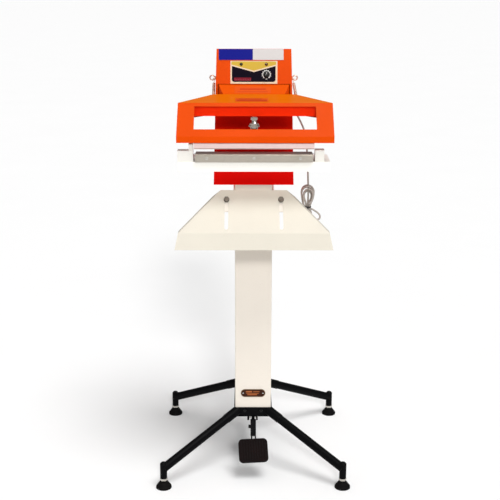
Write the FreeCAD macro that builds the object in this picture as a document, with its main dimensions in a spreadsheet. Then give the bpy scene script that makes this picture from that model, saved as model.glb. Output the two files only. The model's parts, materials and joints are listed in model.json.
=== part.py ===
import FreeCAD, Part
import os
import math
import sys
import Sketcher
from FreeCAD import Vector, Rotation, Placement

# Pedestal impulse heat sealer, foot operated.
# Origin: floor centre of the four levelling feet. +X right, +Y to the rear, +Z up. Millimetres.

doc = FreeCAD.newDocument("heat_sealer")
sheet = doc.addObject("Spreadsheet::Sheet", "Dim")


class E:
    """A number together with the sheet expression that gives it."""

    def __init__(self, v, t, fixed=False):
        self.v, self.t, self.fixed = float(v), t, fixed

    def _two(self, other, sign, value):
        o = as_e(other)
        return E(value, "(%s %s %s)" % (self.t, sign, o.t), self.fixed and o.fixed)

    def __add__(self, o):
        return self._two(o, "+", self.v + as_e(o).v)

    def __radd__(self, o):
        return as_e(o) + self

    def __sub__(self, o):
        return self._two(o, "-", self.v - as_e(o).v)

    def __rsub__(self, o):
        return as_e(o) - self

    def __mul__(self, o):
        return self._two(o, "*", self.v * as_e(o).v)

    def __rmul__(self, o):
        return as_e(o) * self

    def __truediv__(self, o):
        return self._two(o, "/", self.v / as_e(o).v)

    def __neg__(self):
        return E(-self.v, "(0 - %s)" % self.t, self.fixed)


def as_e(x):
    return x if isinstance(x, E) else E(x, "%.7g" % x if x >= 0 else "(0 - %.7g)" % -x, True)


class Dims:
    row = 1

    def add(self, alias, value, note=""):
        cell = "A%d" % Dims.row
        sheet.set(cell, repr(float(value)))
        sheet.setAlias(cell, alias)
        if note:
            sheet.set("B%d" % Dims.row, note)
        Dims.row += 1
        setattr(self, alias, E(value, "Dim." + alias))


d = Dims()
for alias, value, note in [
    # stand
    ("foot_span", 510, "foot centre to foot centre, both ways"),
    ("foot_radius", 22, "foot pad radius"),
    ("foot_top", 20, "foot pad height"),
    ("stud_radius", 6, "levelling stud radius"),
    ("fit_gap", 0.05, "radial clearance of turning and sliding fits"),
    ("post_radius", 10, "upright at the end of each leg"),
    ("post_bottom", 29.5, "underside of the upright"),
    ("post_top", 78, "top of the upright"),
    ("leg_radius", 12.5, "leg tube radius"),
    ("leg_bore", 10.5, "leg tube inner radius"),
    ("leg_low", 59, "leg axis height at the upright"),
    ("leg_high", 167, "leg axis height at the base"),
    ("socket_radius", 13.8, "leg socket radius"),
    ("socket_long", 30, "leg socket length outside the base"),
    ("base_width", 111, "base frame width"),
    ("base_depth", 227, "base frame depth"),
    ("base_bottom", 155, "underside of the base frame"),
    ("base_height", 28, "height of the base frame"),
    ("base_wall", 20, "base frame bar"),
    # column
    ("col_width", 105, "column width"),
    ("col_depth", 219, "column depth"),
    ("col_top", 851, "column top"),
    ("sheet_wall", 2, "column and housing sheet"),
    # housing
    ("hous_low_half", 111, "housing half width at its underside"),
    ("hous_high_half", 101.2, "housing half width at its top"),
    ("hous_front", 110, "housing front plane"),
    ("hous_top", 1221.5, "housing top front edge"),
    ("gate_low", 1043, "lower edge of the arm opening"),
    ("gate_high", 1129, "upper edge of the arm opening"),
    # arm and head
    ("pivot_y", 80, "arm pivot"),
    ("pivot_z", 1060, "arm pivot"),
    ("shaft_radius", 8, "arm pivot shaft radius"),
    ("arm_half", 97, "press arm half width"),
    ("arm_nose_half", 81.5, "press arm half width at its nose"),
    ("head_shift", 3, "the head stands this far to the right"),
    ("head_half", 203, "head half width at its front top edge"),
    ("head_rear_half", 110.5, "head half width at its rear edge"),
    ("jaw_half", 159, "upper jaw half length"),
    ("jaw_under", 970.5, "underside of the silicone strip"),
    # lower jaw
    ("seal_half", 155, "lower jaw bar half length"),
    ("seal_top", 957.5, "top of the lower jaw bar"),
    ("bed_half", 202, "lower jaw body half width"),
    ("bed_low", 911, "underside of the lower jaw body"),
    ("bed_top", 937, "top of the lower jaw body"),
    # work tray
    ("tray_back_half", 90.5, "tray half width at its rear edge"),
    ("tray_front_half", 202.5, "tray half width at the fold"),
    ("tray_lip_half", 212, "tray half width at the lip"),
    ("slot_x", 74, "tray slot centre"),
    ("slot_wide", 10, "tray slot width"),
    ("slot_long", 91, "tray slot length, centre to centre"),
    # treadle and rod
    ("hinge_y", -15, "treadle pivot"),
    ("hinge_z", 138, "treadle pivot"),
    ("hinge_radius", 6, "treadle pivot pin radius"),
    ("rod_y", -50, "pull rod"),
    ("rod_radius", 4, "pull rod radius"),
    ("pad_width", 85, "treadle pad width"),
    ("pad_long", 72.6, "treadle pad length"),
    # cord
    ("cord_radius", 2.5, "mains cord radius"),
]:
    d.add(alias, value, note)

doc.recompute()
NODES = []


def num(x):
    return x.v if isinstance(x, E) else float(x)


def bind(obj, prop, x):
    """Sets a size, and ties it to the sheet where it comes from there."""
    if isinstance(x, E) and not x.fixed:
        obj.setExpression(prop, x.t)


def place(obj, x, y, z, rotation=None):
    obj.Placement = Placement(Vector(num(x), num(y), num(z)), rotation or Rotation())
    for axis, value in (("x", x), ("y", y), ("z", z)):
        bind(obj, "Placement.Base." + axis, value)
    return obj


def box(x0, x1, y0, y1, z0, z1, name="Block"):
    o = doc.addObject("Part::Box", name)
    for prop, low, high in (("Length", x0, x1), ("Width", y0, y1), ("Height", z0, z1)):
        size = as_e(high) - as_e(low)
        setattr(o, prop, size.v)
        bind(o, prop, size)
    return place(o, x0, y0, z0)


AXES = {
    "x": Rotation(Vector(0, 0, 1), Vector(1, 0, 0)),
    "y": Rotation(Vector(0, 0, 1), Vector(0, 1, 0)),
    "z": Rotation(),
}


def cyl(r, length, x, y, z, axis="z", name="Round"):
    """A round bar from the point x, y, z along axis (a letter or a vector)."""
    o = doc.addObject("Part::Cylinder", name)
    o.Radius = num(r)
    o.Height = num(length)
    bind(o, "Radius", r)
    bind(o, "Height", length)
    turn = AXES[axis] if isinstance(axis, str) else Rotation(Vector(0, 0, 1), axis)
    return place(o, x, y, z, turn)


def cone(r1, r2, length, x, y, z, axis="z"):
    o = doc.addObject("Part::Cone", "Taper")
    o.Radius1, o.Radius2, o.Height = num(r1), num(r2), num(length)
    bind(o, "Radius1", r1)
    bind(o, "Radius2", r2)
    bind(o, "Height", length)
    turn = AXES[axis] if isinstance(axis, str) else Rotation(Vector(0, 0, 1), axis)
    return place(o, x, y, z, turn)


def hexa(flats, length, x, y, z, axis="z", spin=0.0):
    o = doc.addObject("Part::Prism", "Hexagon")
    o.Polygon = 6
    o.Circumradius = num(flats) / math.sqrt(3)
    o.Height = num(length)
    bind(o, "Height", length)
    turn = AXES[axis] if isinstance(axis, str) else Rotation(Vector(0, 0, 1), axis)
    return place(o, x, y, z, turn * Rotation(Vector(0, 0, 1), spin))


def fuse(*parts):
    o = doc.addObject("Part::MultiFuse", "Joined")
    o.Shapes = list(parts)
    return o


def cut(base, *tools):
    o = doc.addObject("Part::Cut", "Cut")
    o.Base = base
    o.Tool = tools[0] if len(tools) == 1 else fuse(*tools)
    return o


def common(a, b):
    o = doc.addObject("Part::Common", "Common")
    o.Base, o.Tool = a, b
    return o


def group(*parts):
    o = doc.addObject("Part::Compound", "Set")
    o.Links = list(parts)
    return o


PLANES = {"XY": "XY_Plane", "XZ": "XZ_Plane", "YZ": "YZ_Plane"}


def body(name):
    return doc.addObject("PartDesign::Body", name)


def plane_of(b, plane):
    return [f for f in b.Origin.OriginFeatures if f.Role == PLANES[plane]][0]


def outline(b, plane, points, offset=0.0):
    """A closed polygon of driven points on one of the body's own planes."""
    s = b.newObject("Sketcher::SketchObject", "Outline")
    s.AttachmentSupport = [(plane_of(b, plane), "")]
    s.MapMode = "FlatFace"
    s.AttachmentOffset = Placement(Vector(0, 0, num(offset)), Rotation())
    bind(s, "AttachmentOffset.Base.z", offset)
    n = len(points)
    at = [Vector(num(p[0]), num(p[1]), 0) for p in points]
    for i in range(n):
        s.addGeometry(Part.LineSegment(at[i], at[(i + 1) % n]), False)
    for i in range(n):
        s.addConstraint(Sketcher.Constraint("Coincident", i, 2, (i + 1) % n, 1))
    for i, p in enumerate(points):
        for kind, value, axis in (("DistanceX", p[0], -2), ("DistanceY", p[1], -1)):
            if abs(num(value)) < 1e-9:
                s.addConstraint(Sketcher.Constraint("PointOnObject", i, 1, axis))
            else:
                k = s.addConstraint(Sketcher.Constraint(kind, -1, 1, i, 1, num(value)))
                if isinstance(value, E) and not value.fixed:
                    label = "%s%d" % ("across" if axis == -2 else "up", i)
                    s.renameConstraint(k, label)
                    s.setExpression("Constraints." + label, value.t)
    return s


def pad(name, plane, points, start, length):
    """A body: the polygon on its plane, padded from start by length.
    YZ: along +X. XZ: start and length count along -Y. XY: along +Z."""
    b = body(name)
    s = outline(b, plane, points, start)
    p = b.newObject("PartDesign::Pad", "Pad")
    p.Profile = s
    p.Length = num(length)
    bind(p, "Length", length)
    b.Tip = p
    return b


def rounded(b, radius, choose):
    """Rounds those edges of a body that choose(edge) picks."""
    doc.recompute()
    tip = b.Tip
    names = ["Edge%d" % (i + 1) for i, e in enumerate(tip.Shape.Edges) if choose(e)]
    f = b.newObject("PartDesign::Fillet", "Rounding")
    f.Base = (tip, names)
    f.Radius = num(radius)
    bind(f, "Radius", radius)
    b.Tip = f
    return b


def along(e, axis):
    if not isinstance(e.Curve, Part.Line):
        return False
    t = e.tangentAt(e.FirstParameter)
    return abs(t.dot(axis)) > 0.999


def node(label, obj):
    obj.Label = label
    NODES.append((label, obj))
    return obj


def free(shape, place_at=None):
    o = doc.addObject("Part::Feature", "Shape")
    o.Shape = shape
    if place_at:
        o.Placement = place_at
    return o


X, Y, Z = Vector(1, 0, 0), Vector(0, 1, 0), Vector(0, 0, 1)
base_top = d.base_bottom + d.base_height
half_base = d.base_width / 2
half_deep = d.base_depth / 2
half_span = d.foot_span / 2

# ---------------------------------------------------------------- feet and legs
leg_dir = {}
sockets, bores = [], []
for name, sx, sy in (
    ("front_left", -1, -1),
    ("front_right", 1, -1),
    ("rear_left", -1, 1),
    ("rear_right", 1, 1),
):
    inner = Vector(sx * half_base.v, sy * half_deep.v, d.leg_high.v)
    outer = Vector(sx * half_span.v, sy * half_span.v, d.leg_low.v)
    way = (outer - inner).normalize()
    leg_dir[name] = (inner, outer, way)
    fx, fy = half_span * sx, half_span * sy
    # levelling foot: bell-shaped pad with its stud
    foot = fuse(
        cyl(d.foot_radius, 5, fx, fy, 0),
        cone(d.foot_radius, 11, d.foot_top - 5, fx, fy, 5),
        cyl(d.stud_radius, 52, fx, fy, d.foot_top - 10),
    )
    node("foot_" + name, foot)
    # leg: bored tube welded to its upright, with a blind hole for the stud
    start = inner + way * 6
    long = (outer - start).Length
    tube = cyl(d.leg_radius, long, start.x, start.y, start.z, way)
    upright = cut(
        cyl(d.post_radius, d.post_top - d.post_bottom - 4, fx, fy, d.post_bottom),
        cyl(d.stud_radius + d.fit_gap, 48, fx, fy, d.post_bottom - 1),
    )
    crown = cone(d.post_radius, d.post_radius - 3.5, 4, fx, fy, d.post_top - 4)
    hollow = cyl(d.leg_bore, long - 16, start.x, start.y, start.z, way)
    stud_way = cyl(d.stud_radius + d.fit_gap, 44, fx, fy, d.post_bottom - 1)
    node("leg_" + name, cut(fuse(tube, upright, crown), hollow, stud_way))
    s0 = inner - way * 16
    sockets.append(cyl(d.socket_radius, d.socket_long + 16, s0.x, s0.y, s0.z, way))
    b0 = inner + way * 5.5
    bores.append(cyl(d.leg_radius + d.fit_gap, d.socket_long + 20, b0.x, b0.y, b0.z, way))

nuts = []
for sx in (-1, 1):
    for sy in (-1, 1):
        x, y = half_span * sx, half_span * sy
        nuts.append(
            cut(
                hexa(19, 6, x, y, d.post_bottom - 6),
                cyl(d.stud_radius + d.fit_gap, 10, x, y, d.post_bottom - 8),
            )
        )
node("foot_lock_nuts", group(*nuts))

# ---------------------------------------------------------------- base frame
frame = pad(
    "BaseFrame",
    "XY",
    [(-half_base, -half_deep), (half_base, -half_deep), (half_base, half_deep), (-half_base, half_deep)],
    d.base_bottom,
    d.base_height,
)
rounded(frame, 2.5, lambda e: along(e, Z))
inside = box(
    d.base_wall - half_base, half_base - d.base_wall,
    d.base_wall - half_deep, half_deep - d.base_wall,
    d.base_bottom - 30, base_top + 5,
)
lugs = [
    box(-17, -11, -half_deep + 0.5, -half_deep + 12, d.base_bottom - 12, d.base_bottom + 1),
    box(9, 14, -half_deep + 0.5, -half_deep + 12, d.base_bottom - 12, d.base_bottom + 1),
]
above = box(-200, 200, -200, 200, base_top, base_top + 60)
node("base_frame", cut(fuse(frame, *sockets, *lugs), inside, above, *bores))

# hanger under the base that carries the treadle pivot
hanger = cut(
    fuse(
        box(-half_base + 4, half_base - 4, -34, 4, d.base_bottom - 5, d.base_bottom),
        box(-20, -14, -32, 2, d.base_bottom - 34, d.base_bottom - 4),
        box(15, 21, -32, 2, d.base_bottom - 34, d.base_bottom - 4),
    ),
    cyl(d.hinge_radius + 0.01, 80, -40, d.hinge_y, d.hinge_z, "x"),
)
node("pedal_bracket", hanger)
node(
    "pedal_pivot_pin",
    fuse(
        cyl(d.hinge_radius, 44, -21.5, d.hinge_y, d.hinge_z, "x"),
        cyl(d.hinge_radius + 3, 3, -24, d.hinge_y, d.hinge_z, "x"),
        cyl(d.hinge_radius + 3, 3, 21.5, d.hinge_y, d.hinge_z, "x"),
    ),
)

# ---------------------------------------------------------------- column
half_col = d.col_width / 2
half_cold = d.col_depth / 2
col = pad(
    "ColumnShell",
    "XY",
    [(-half_col, -half_cold), (half_col, -half_cold), (half_col, half_cold), (-half_col, half_cold)],
    base_top,
    d.col_top - base_top,
)
rounded(col, 3, lambda e: along(e, Z) and e.CenterOfMass.y < 0)
node(
    "column_shell",
    cut(
        col,
        box(d.sheet_wall - half_col, half_col - d.sheet_wall, d.sheet_wall - half_cold, half_cold + 5,
            base_top - 5, d.col_top + 5),
    ),
)
node(
    "column_rear_cover",
    fuse(
        box(d.sheet_wall - half_col, half_col - d.sheet_wall, half_cold - d.sheet_wall, half_cold,
            base_top, d.col_top),
        box(-20, 20, half_cold - 10, half_cold - 1, base_top + 40, base_top + 43),
        box(-20, 20, half_cold - 10, half_cold - 1, d.col_top - 60, d.col_top - 57),
    ),
)

# oval name plate, blank, with its two rivets
plate_mid = 228
plate = fuse(
    box(-24, 24, -half_cold - 1, -half_cold, plate_mid - 12, plate_mid + 12),
    cyl(12, 1, -24, -half_cold - 1, plate_mid, "y"),
    cyl(12, 1, 24, -half_cold - 1, plate_mid, "y"),
    cyl(2.2, 1.2, -29, -half_cold - 2, plate_mid, "y"),
    cyl(2.2, 1.2, 29, -half_cold - 2, plate_mid, "y"),
)
node("nameplate", plate)

# ---------------------------------------------------------------- housing
lean = math.degrees(math.atan2(18, d.hous_top.v - d.gate_high.v))
low, high = d.col_top, d.hous_top
w = d.sheet_wall
side = [
    (-d.hous_front, low), (-d.hous_front, d.gate_high - 79), (2 - d.hous_front, d.gate_high),
    (20 - d.hous_front, high), (85, high - 44), (110, high - 104), (110, low),
]
side_in = [
    (w - d.hous_front, low - 5), (w - d.hous_front, d.gate_high - 79), (2 + w - d.hous_front, d.gate_high),
    (21.6 - d.hous_front + 0.6, high - 2.6), (84, high - 46.2), (108, high - 105), (108, low - 5),
]
shell_a = pad("HousingSide", "YZ", side, -130, 260)
shell_b = pad(
    "HousingFace", "XZ",
    [(-d.hous_low_half, low), (d.hous_low_half, low), (d.hous_high_half, high), (-d.hous_high_half, high)],
    -140, 280,
)
shell_c = pad("HousingSideIn", "YZ", side_in, -130, 260)
shell_d = pad(
    "HousingFaceIn", "XZ",
    [(w - d.hous_low_half, low - 5), (d.hous_low_half - w, low - 5), (d.hous_high_half - w, high), (w - d.hous_high_half, high)],
    -140, 280,
)
gate = box(-98.2, 98.2, -d.hous_front - 10, -d.hous_front + 12, d.gate_low, d.gate_high)
hatch = box(-72, 72, 100, 120, 890, 1080)
eye_z = 1140
cord_hole = cyl(5.1, 20, 95, -45, 1063, "x")
shaft_hole = cyl(d.shaft_radius + 0.02, 260, -130, d.pivot_y, d.pivot_z, "x")
eye_holes = cyl(3.02, 260, -130, -60, eye_z, "x")
node(
    "housing_floor",
    cut(
        box(-108.5, 108.5, -107.8, 107.8, low, low + 3),
        cyl(9, 20, 0, d.rod_y, low - 5),
    ),
)
vents = [box(-50, 50, 105, 120, 1010 + 14 * i, 1014 + 14 * i) for i in range(5)]
node("housing_rear_cover", cut(box(-84, 84, 110, 111.5, 878, 1092), *vents))


def on_face(x0, x1, v0, v1, thick, proud=0.0):
    """A plate on the leaning front panel: x across, v up the panel from its lower edge."""
    b = box(0, x1 - x0, 0, thick, 0, v1 - v0)
    a = math.radians(lean)
    n = Vector(0, -math.cos(a), math.sin(a))
    u = Vector(0, math.sin(a), math.cos(a))
    p = Vector(x0, -d.hous_front.v + 2, d.gate_high.v) + u * v0 + n * (thick + proud)
    return place(b, p.x, p.y, p.z, Rotation(X, -lean))


def peg(x, v, r, out, deep):
    """A round peg square to the front panel."""
    a = math.radians(lean)
    n = Vector(0, -math.cos(a), math.sin(a))
    u = Vector(0, math.sin(a), math.cos(a))
    p = Vector(x, -d.hous_front.v + 2, d.gate_high.v) + u * v - n * deep
    return cyl(r, out + deep, p.x, p.y, p.z, n)


shell = cut(
    common(shell_a, shell_b), common(shell_c, shell_d), gate, hatch, cord_hole, shaft_hole, eye_holes,
    peg(33.9, 25.2, 3.5, 2, 6),
)
node("housing_shell", shell)
node("sign_plate_left", on_face(-95, -3.1, 64.4, 93.6, 1.5))
node("sign_plate_right", on_face(-3.0, 80, 64.4, 93.6, 1.5))
label = on_face(-63.5, 63.5, 0.6, 61.8, 1.0)
node("control_label", cut(label, peg(33.9, 25.2, 4.2, 6, 2), peg(-34.4, 52.6, 3.01, 6, 2), peg(33.6, 52.6, 3.01, 6, 2)))
node("indicator_lamps", group(peg(-34.4, 52.6, 3, 3.2, -0.05), peg(33.6, 52.6, 3, 3.2, -0.05)))
knob = cut(
    fuse(peg(33.9, 25.2, 8.5, 5, -1.4), peg(33.9, 25.2, 6.3, 14, -1.4)),
    peg(33.9, 25.2, 3.0, 12, 1),
)
node("timer_knob", knob)
node("timer_spindle", fuse(peg(33.9, 25.2, 2.95, 11.4, 4), peg(33.9, 25.2, 8, -2.3, 14)))
node(
    "circuit_board",
    fuse(
        box(-92, -24, -40, 60, 862, 864),
        box(-88, -60, -30, 0, 864, 884),
        box(-56, -30, 10, 50, 864, 880),
        cyl(3, 8, -88, -36, 854),
        cyl(3, 8, -88, 56, 854),
        cyl(3, 8, -28, -36, 854),
        cyl(3, 8, -28, 56, 854),
    ),
)
core = cut(
    box(20, 92, -5, 37, 854, 916),
    box(32, 47, -10, 45, 866, 904),
    box(65, 80, -10, 45, 866, 904),
)
node("transformer_core", core)
node("transformer_coil", cut(box(33, 79, -16, 48, 867, 903), box(46.9, 65.1, -5.1, 37.1, 860, 910)))

# pivot shaft of the arm, with a nut at each end
node(
    "pivot_shaft",
    fuse(
        cyl(d.shaft_radius, 216, -108, d.pivot_y, d.pivot_z, "x"),
        hexa(22, 8, -114, d.pivot_y, d.pivot_z, "x"),
        hexa(22, 8, 106, d.pivot_y, d.pivot_z, "x"),
    ),
)

# pegs in the side walls, each with the end loop of its spring, and the two return springs
def ring(x):
    t = doc.addObject("Part::Torus", "Ring")
    t.Radius1, t.Radius2 = 6.3, 1.7
    return place(t, x, -60, eye_z + 1, Rotation(X, 90))


node(
    "spring_pegs",
    group(
        fuse(ring(-114.5), cyl(3, 13, -109, -60, eye_z, "x"), hexa(9, 3.2, -107.4, -60, eye_z, "x")),
        fuse(ring(113.5), cyl(3, 13, 96, -60, eye_z, "x"), hexa(9, 3.2, 104.2, -60, eye_z, "x")),
    ),
)
for name, x0, x1 in (("left", -109.8, -109.8), ("right", 109.8, 116.5)):
    a, b = Vector(x0, -64, eye_z - 13), Vector(x1, -130.5, 1083)
    node("return_spring_" + name, cyl(4.2, (b - a).Length, a.x, a.y, a.z, (b - a).normalize()))

# ---------------------------------------------------------------- press arm (moves)
arm_side = [
    (96, 1048), (96, 1072), (70, 1100), (30, 1118), (-106, 1127.9), (-137, 1101),
    (-200, 1088.5), (-200, 1070), (-150, 1060), (-100, 1052), (30, 1044), (70, 1040),
]
arm_in = [
    (110, 1030), (110, 1050), (68, 1097), (29, 1115), (-105, 1124.9), (-136, 1098),
    (-199, 1085.5), (-210, 1030),
]
nose = d.arm_nose_half
plan = [(-d.arm_half, 98), (-d.arm_half, -104), (-nose, -137), (-nose, -201), (nose, -201), (nose, -137), (d.arm_half, -104), (d.arm_half, 98)]
i3 = d.arm_half - 3
n3 = nose - 3
plan_in = [(-i3, 120), (-i3, -104), (-n3, -137), (-n3, -198), (n3, -198), (n3, -137), (i3, -104), (i3, 120)]
arm = cut(
    common(pad("ArmSide", "YZ", arm_side, -120, 240), pad("ArmPlan", "XY", plan, 1000, 180)),
    common(pad("ArmSideIn", "YZ", arm_in, -120, 240), pad("ArmPlanIn", "XY", plan_in, 1000, 180)),
    cyl(d.shaft_radius + d.fit_gap, 260, -130, d.pivot_y, d.pivot_z, "x"),
)
node("press_arm", arm)
node(
    "arm_crossbar",
    cut(
        fuse(
            box(-i3, i3, d.rod_y - 14, d.rod_y + 15, 1052, 1056),
            box(-i3, i3, d.rod_y + 12, d.rod_y + 15, 1055, 1076),
        ),
        cyl(d.rod_radius + 2.2, 20, 0, d.rod_y, 1045),
    ),
)

# head hood
hx = d.head_shift
hf, hr = d.head_half, d.head_rear_half
head_side = [
    (-137, 1104.5), (-215, 1091), (-240, 1006), (-240, 989), (-196, 989), (-196, 1047), (-137, 1050),
]
head_in = [
    (-130, 1102.6), (-213.6, 1088.2), (-237.6, 1006), (-237.6, 975), (-120, 975), (-120, 1104.3),
]
head_plan = [(hx - hr - 2, -137), (hx - hf, -215), (hx - hf - 5, -242), (hx + hf + 5, -242), (hx + hf, -215), (hx + hr - 2, -137)]
head_plan_in = [
    (hx - hr + 0.9, -136), (hx - hf + 2.6, -213.5), (hx - hf - 2.5, -240), (hx + hf + 2.5, -240), (hx + hf - 2.6, -213.5), (hx + hr - 4.9, -136),
]
hood = cut(
    common(pad("HeadSide", "YZ", head_side, -240, 480), pad("HeadPlan", "XY", head_plan, 960, 180)),
    common(pad("HeadSideIn", "YZ", head_in, -240, 480), pad("HeadPlanIn", "XY", head_plan_in, 950, 200)),
    pad("HeadWindow", "XZ", [(-158.5, 1024), (164.5, 1024), (161.5, 1082), (-156.5, 1082)], 205, 60),
)
web = cut(
    box(hx - hf - 1, hx + hf + 1, -238, -204, 1001, 1004),
    cyl(7.5, 20, 0, -219, 995),
)
band = pad("HeadBand", "XZ", [(hx - 190, 1055), (hx + 190, 1055), (hx + 190, 1086.6), (hx - 190, 1086.6)], 203, 3)
tabs = [
    box(-113.5, -106.5, -143, -134, 1070, 1092),
    box(112.5, 119.5, -143, -134, 1070, 1092),
]
node("press_head", fuse(hood, web, band, *tabs))

# ---------------------------------------------------------------- upper jaw (floats in the head)
under = d.jaw_under
jaw = pad("UpperJaw", "YZ", [(-232, under + 2.5), (-208, under + 2.5), (-208, under + 17), (-232, under + 17)], -d.jaw_half, d.jaw_half * 2)
rounded(jaw, 1.2, lambda e: along(e, X))
node("upper_jaw_bar", cut(jaw, box(-d.jaw_half - 5, d.jaw_half + 5, -227, -213, under + 1, under + 4)))
node("silicone_strip", box(-d.jaw_half, d.jaw_half, -226.9, -213.1, under, under + 4))
node(
    "jaw_stud",
    fuse(
        cyl(6, 68, 0, -219, under + 17),
        cyl(9.5, 22.5, 0, -219, 1004.4),
        cyl(11, 3.5, 0, -219, 1026.8),
        cyl(15, 2.6, 0, -219, 1030.2),
        cyl(12.2, 5.6, 0, -219, 1032.7),
        cone(12.2, 8.5, 5, 0, -219, 1038.3),
        hexa(15, 6.5, 0, -219, 1047),
    ),
)

# ---------------------------------------------------------------- lower jaw
bed = box(-d.bed_half, d.bed_half, -230, -110.2, d.bed_low, d.bed_top)
bed_in = box(2 - d.bed_half, d.bed_half - 2, -228, -100, d.bed_low - 5, d.bed_top - 2)
node("lower_jaw_body", cut(bed, bed_in))
seal_bar = pad("SealBar", "YZ", [(-235, d.bed_top), (-190, d.bed_top), (-190, d.seal_top), (-235, d.seal_top)], -d.seal_half, d.seal_half * 2)
rounded(seal_bar, 1.0, lambda e: along(e, X) and e.CenterOfMass.z > 950)
node("lower_jaw_bar", seal_bar)
node(
    "clamp_strips",
    group(
        box(-d.seal_half, d.seal_half, -238, -235, d.bed_top + 3, d.seal_top - 1.6),
        box(-d.seal_half, d.seal_half, -190, -187, d.bed_top + 3, d.seal_top - 1.6),
    ),
)
node("heating_element", box(-d.seal_half - 4, d.seal_half + 4, -222, -217, d.seal_top, d.seal_top + 0.3))
node("ptfe_tape", box(-d.seal_half, d.seal_half, -234, -191, d.seal_top + 0.3, d.seal_top + 0.7))
node(
    "element_terminals",
    group(
        fuse(box(-203, -161.5, -228, -198, d.bed_top, 966), box(-173, -161.5, -226, -204, 960, 984)),
        box(161.5, 186, -228, -198, d.bed_top, 968),
    ),
)

# ---------------------------------------------------------------- work tray (slides)
ty, tz = (-262.0 + 157.0), (750.0 - 846.0)
tl = math.hypot(ty, tz)
down = Vector(0, ty / tl, tz / tl)
out = Vector(0, tz / tl, -ty / tl)
tray_angle = math.degrees(math.atan2(-tz, -ty))
t = 1.5
fold = Vector(0, -262, 750)
lip = Vector(0, -270, 706)
tray_side = [(-157, 846), (-262, 750), (-270, 706), (-256, 706), (-247, 738), (-150, 827)]
tray_side_in = [
    (-157 + 20.01, 846 + 16.89), (-262 + 1.45, 750 - 0.5), (-270 + 2.3, 700), (-220, 690), (-130, 790),
]
tray_front = [
    (-d.tray_back_half, 846), (-d.tray_front_half, 750), (-d.tray_lip_half, 706),
    (d.tray_lip_half, 706), (d.tray_front_half, 750), (d.tray_back_half, 846),
]
tray_front_in = [
    (-(d.tray_back_half - 2.4) + 23.3, 866), (-d.tray_front_half + 2.0, 750.2), (-d.tray_lip_half + 0.8, 700),
    (d.tray_lip_half - 0.8, 700), (d.tray_front_half - 2.0, 750.2), ((d.tray_back_half - 2.4) - 23.3, 866),
]
tray_shape = cut(
    common(pad("TraySide", "YZ", tray_side, -240, 480), pad("TrayFront", "XZ", tray_front, 100, 200)),
    common(pad("TraySideIn", "YZ", tray_side_in, -240, 480), pad("TrayFrontIn", "XZ", tray_front_in, 90, 220)),
)
bolt_at = Vector(0, -181.6, 846 - (24.6) * 96.0 / 105.0)


def on_tray(p, lift):
    return p + out * lift


slots = []
for s in (-1, 1):
    x = d.slot_x * s
    for step in (0.0, d.slot_long.v):
        c = bolt_at + down * step + out * -12
        slots.append(cyl(d.slot_wide / 2, 24, x, c.y, c.z, out))
    c = bolt_at + out * -12
    b = box(0, d.slot_wide, 0, d.slot_long, 0, 24)
    start = c + down * d.slot_long.v
    place(b, x - d.slot_wide / 2, start.y, start.z, Rotation(X, tray_angle))
    slots.append(b)
node("tray_plate", cut(tray_shape, *slots))

# bracket that carries the tray on the column, and its two clamp bolts
under_plate = Vector(0, -157, 846) + down * 70 + out * -(t + 0.5 + 3)
bracket_plate = box(0, 176, 0, 58, 0, 3)
place(bracket_plate, -88, under_plate.y, under_plate.z, Rotation(X, tray_angle))
cheek = [(-60, 845), (-151.5, 845), (-190, 809.7), (-190, 793), (-112, 780), (-60, 780)]
bolt_foot = bolt_at + out * -30
node(
    "tray_bracket",
    cut(
        fuse(
            bracket_plate,
            pad("CheekLeft", "YZ", cheek, -half_col - 3.2, 3),
            pad("CheekRight", "YZ", cheek, half_col + 0.2, 3),
        ),
        cyl(4.02, 60, -d.slot_x, bolt_foot.y, bolt_foot.z, out),
        cyl(4.02, 60, d.slot_x, bolt_foot.y, bolt_foot.z, out),
    ),
)
bolts = []
for s in (-1, 1):
    x = d.slot_x * s
    a, b, c = bolt_at + out * -12, bolt_at + out * 0.4, bolt_at + out * -11
    bolts.append(
        fuse(
            cyl(4, 18, x, a.y, a.z, out),
            cyl(7.8, 1.6, x, b.y, b.z, out),
            hexa(13, 7, x, b.y, b.z, out),
            hexa(13, 5.6, x, c.y, c.z, out),
        )
    )
node("tray_bolts", group(*bolts))

# ---------------------------------------------------------------- treadle (moves)
lever_side = [(3, 128), (3, 143), (-8, 147.6), (-60, 148), (-118, 151), (-130, 147), (-130, 133), (-118, 137), (-60, 129)]
lever = cut(
    pad("Lever", "YZ", lever_side, -4, 9),
    cyl(d.hinge_radius + d.fit_gap, 60, -30, d.hinge_y, d.hinge_z, "x"),
    cyl(4.0, 60, -30, d.rod_y, d.hinge_z, "x"),
)
node("pedal_lever", lever)
block_side = [(-122, 151), (-131, 151), (-158, 114), (-147, 107), (-122, 131)]
node(
    "pedal_block",
    fuse(
        cut(pad("Block", "YZ", block_side, -7.5, 16), pad("LeverCopy", "YZ", lever_side, -4, 9)),
        hexa(10, 6, -13.5, -137, 134, "x"),
    ),
)
node("clevis_pin", cyl(4.0, 26, -13, d.rod_y, d.hinge_z, "x"))
slope = math.degrees(math.atan2(45, 57))
sa = math.radians(slope)
pn = Vector(0, -math.sin(sa), math.cos(sa))
pu = Vector(0, math.cos(sa), math.sin(sa))
pad_low = Vector(0.5, -222, 64)
twist = Rotation(pn, 3)


def on_pedal(x0, x1, u0, u1, n0, n1):
    b = box(0, x1 - x0, 0, u1 - u0, 0, n1 - n0)
    mid = pad_low + pu * (d.pad_long.v / 2)
    p = Vector(x0, 0, 0) + pu * (u0 - d.pad_long.v / 2) + pn * n0
    return place(b, *(mid + twist.multVec(p)), twist * Rotation(X, slope))


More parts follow.
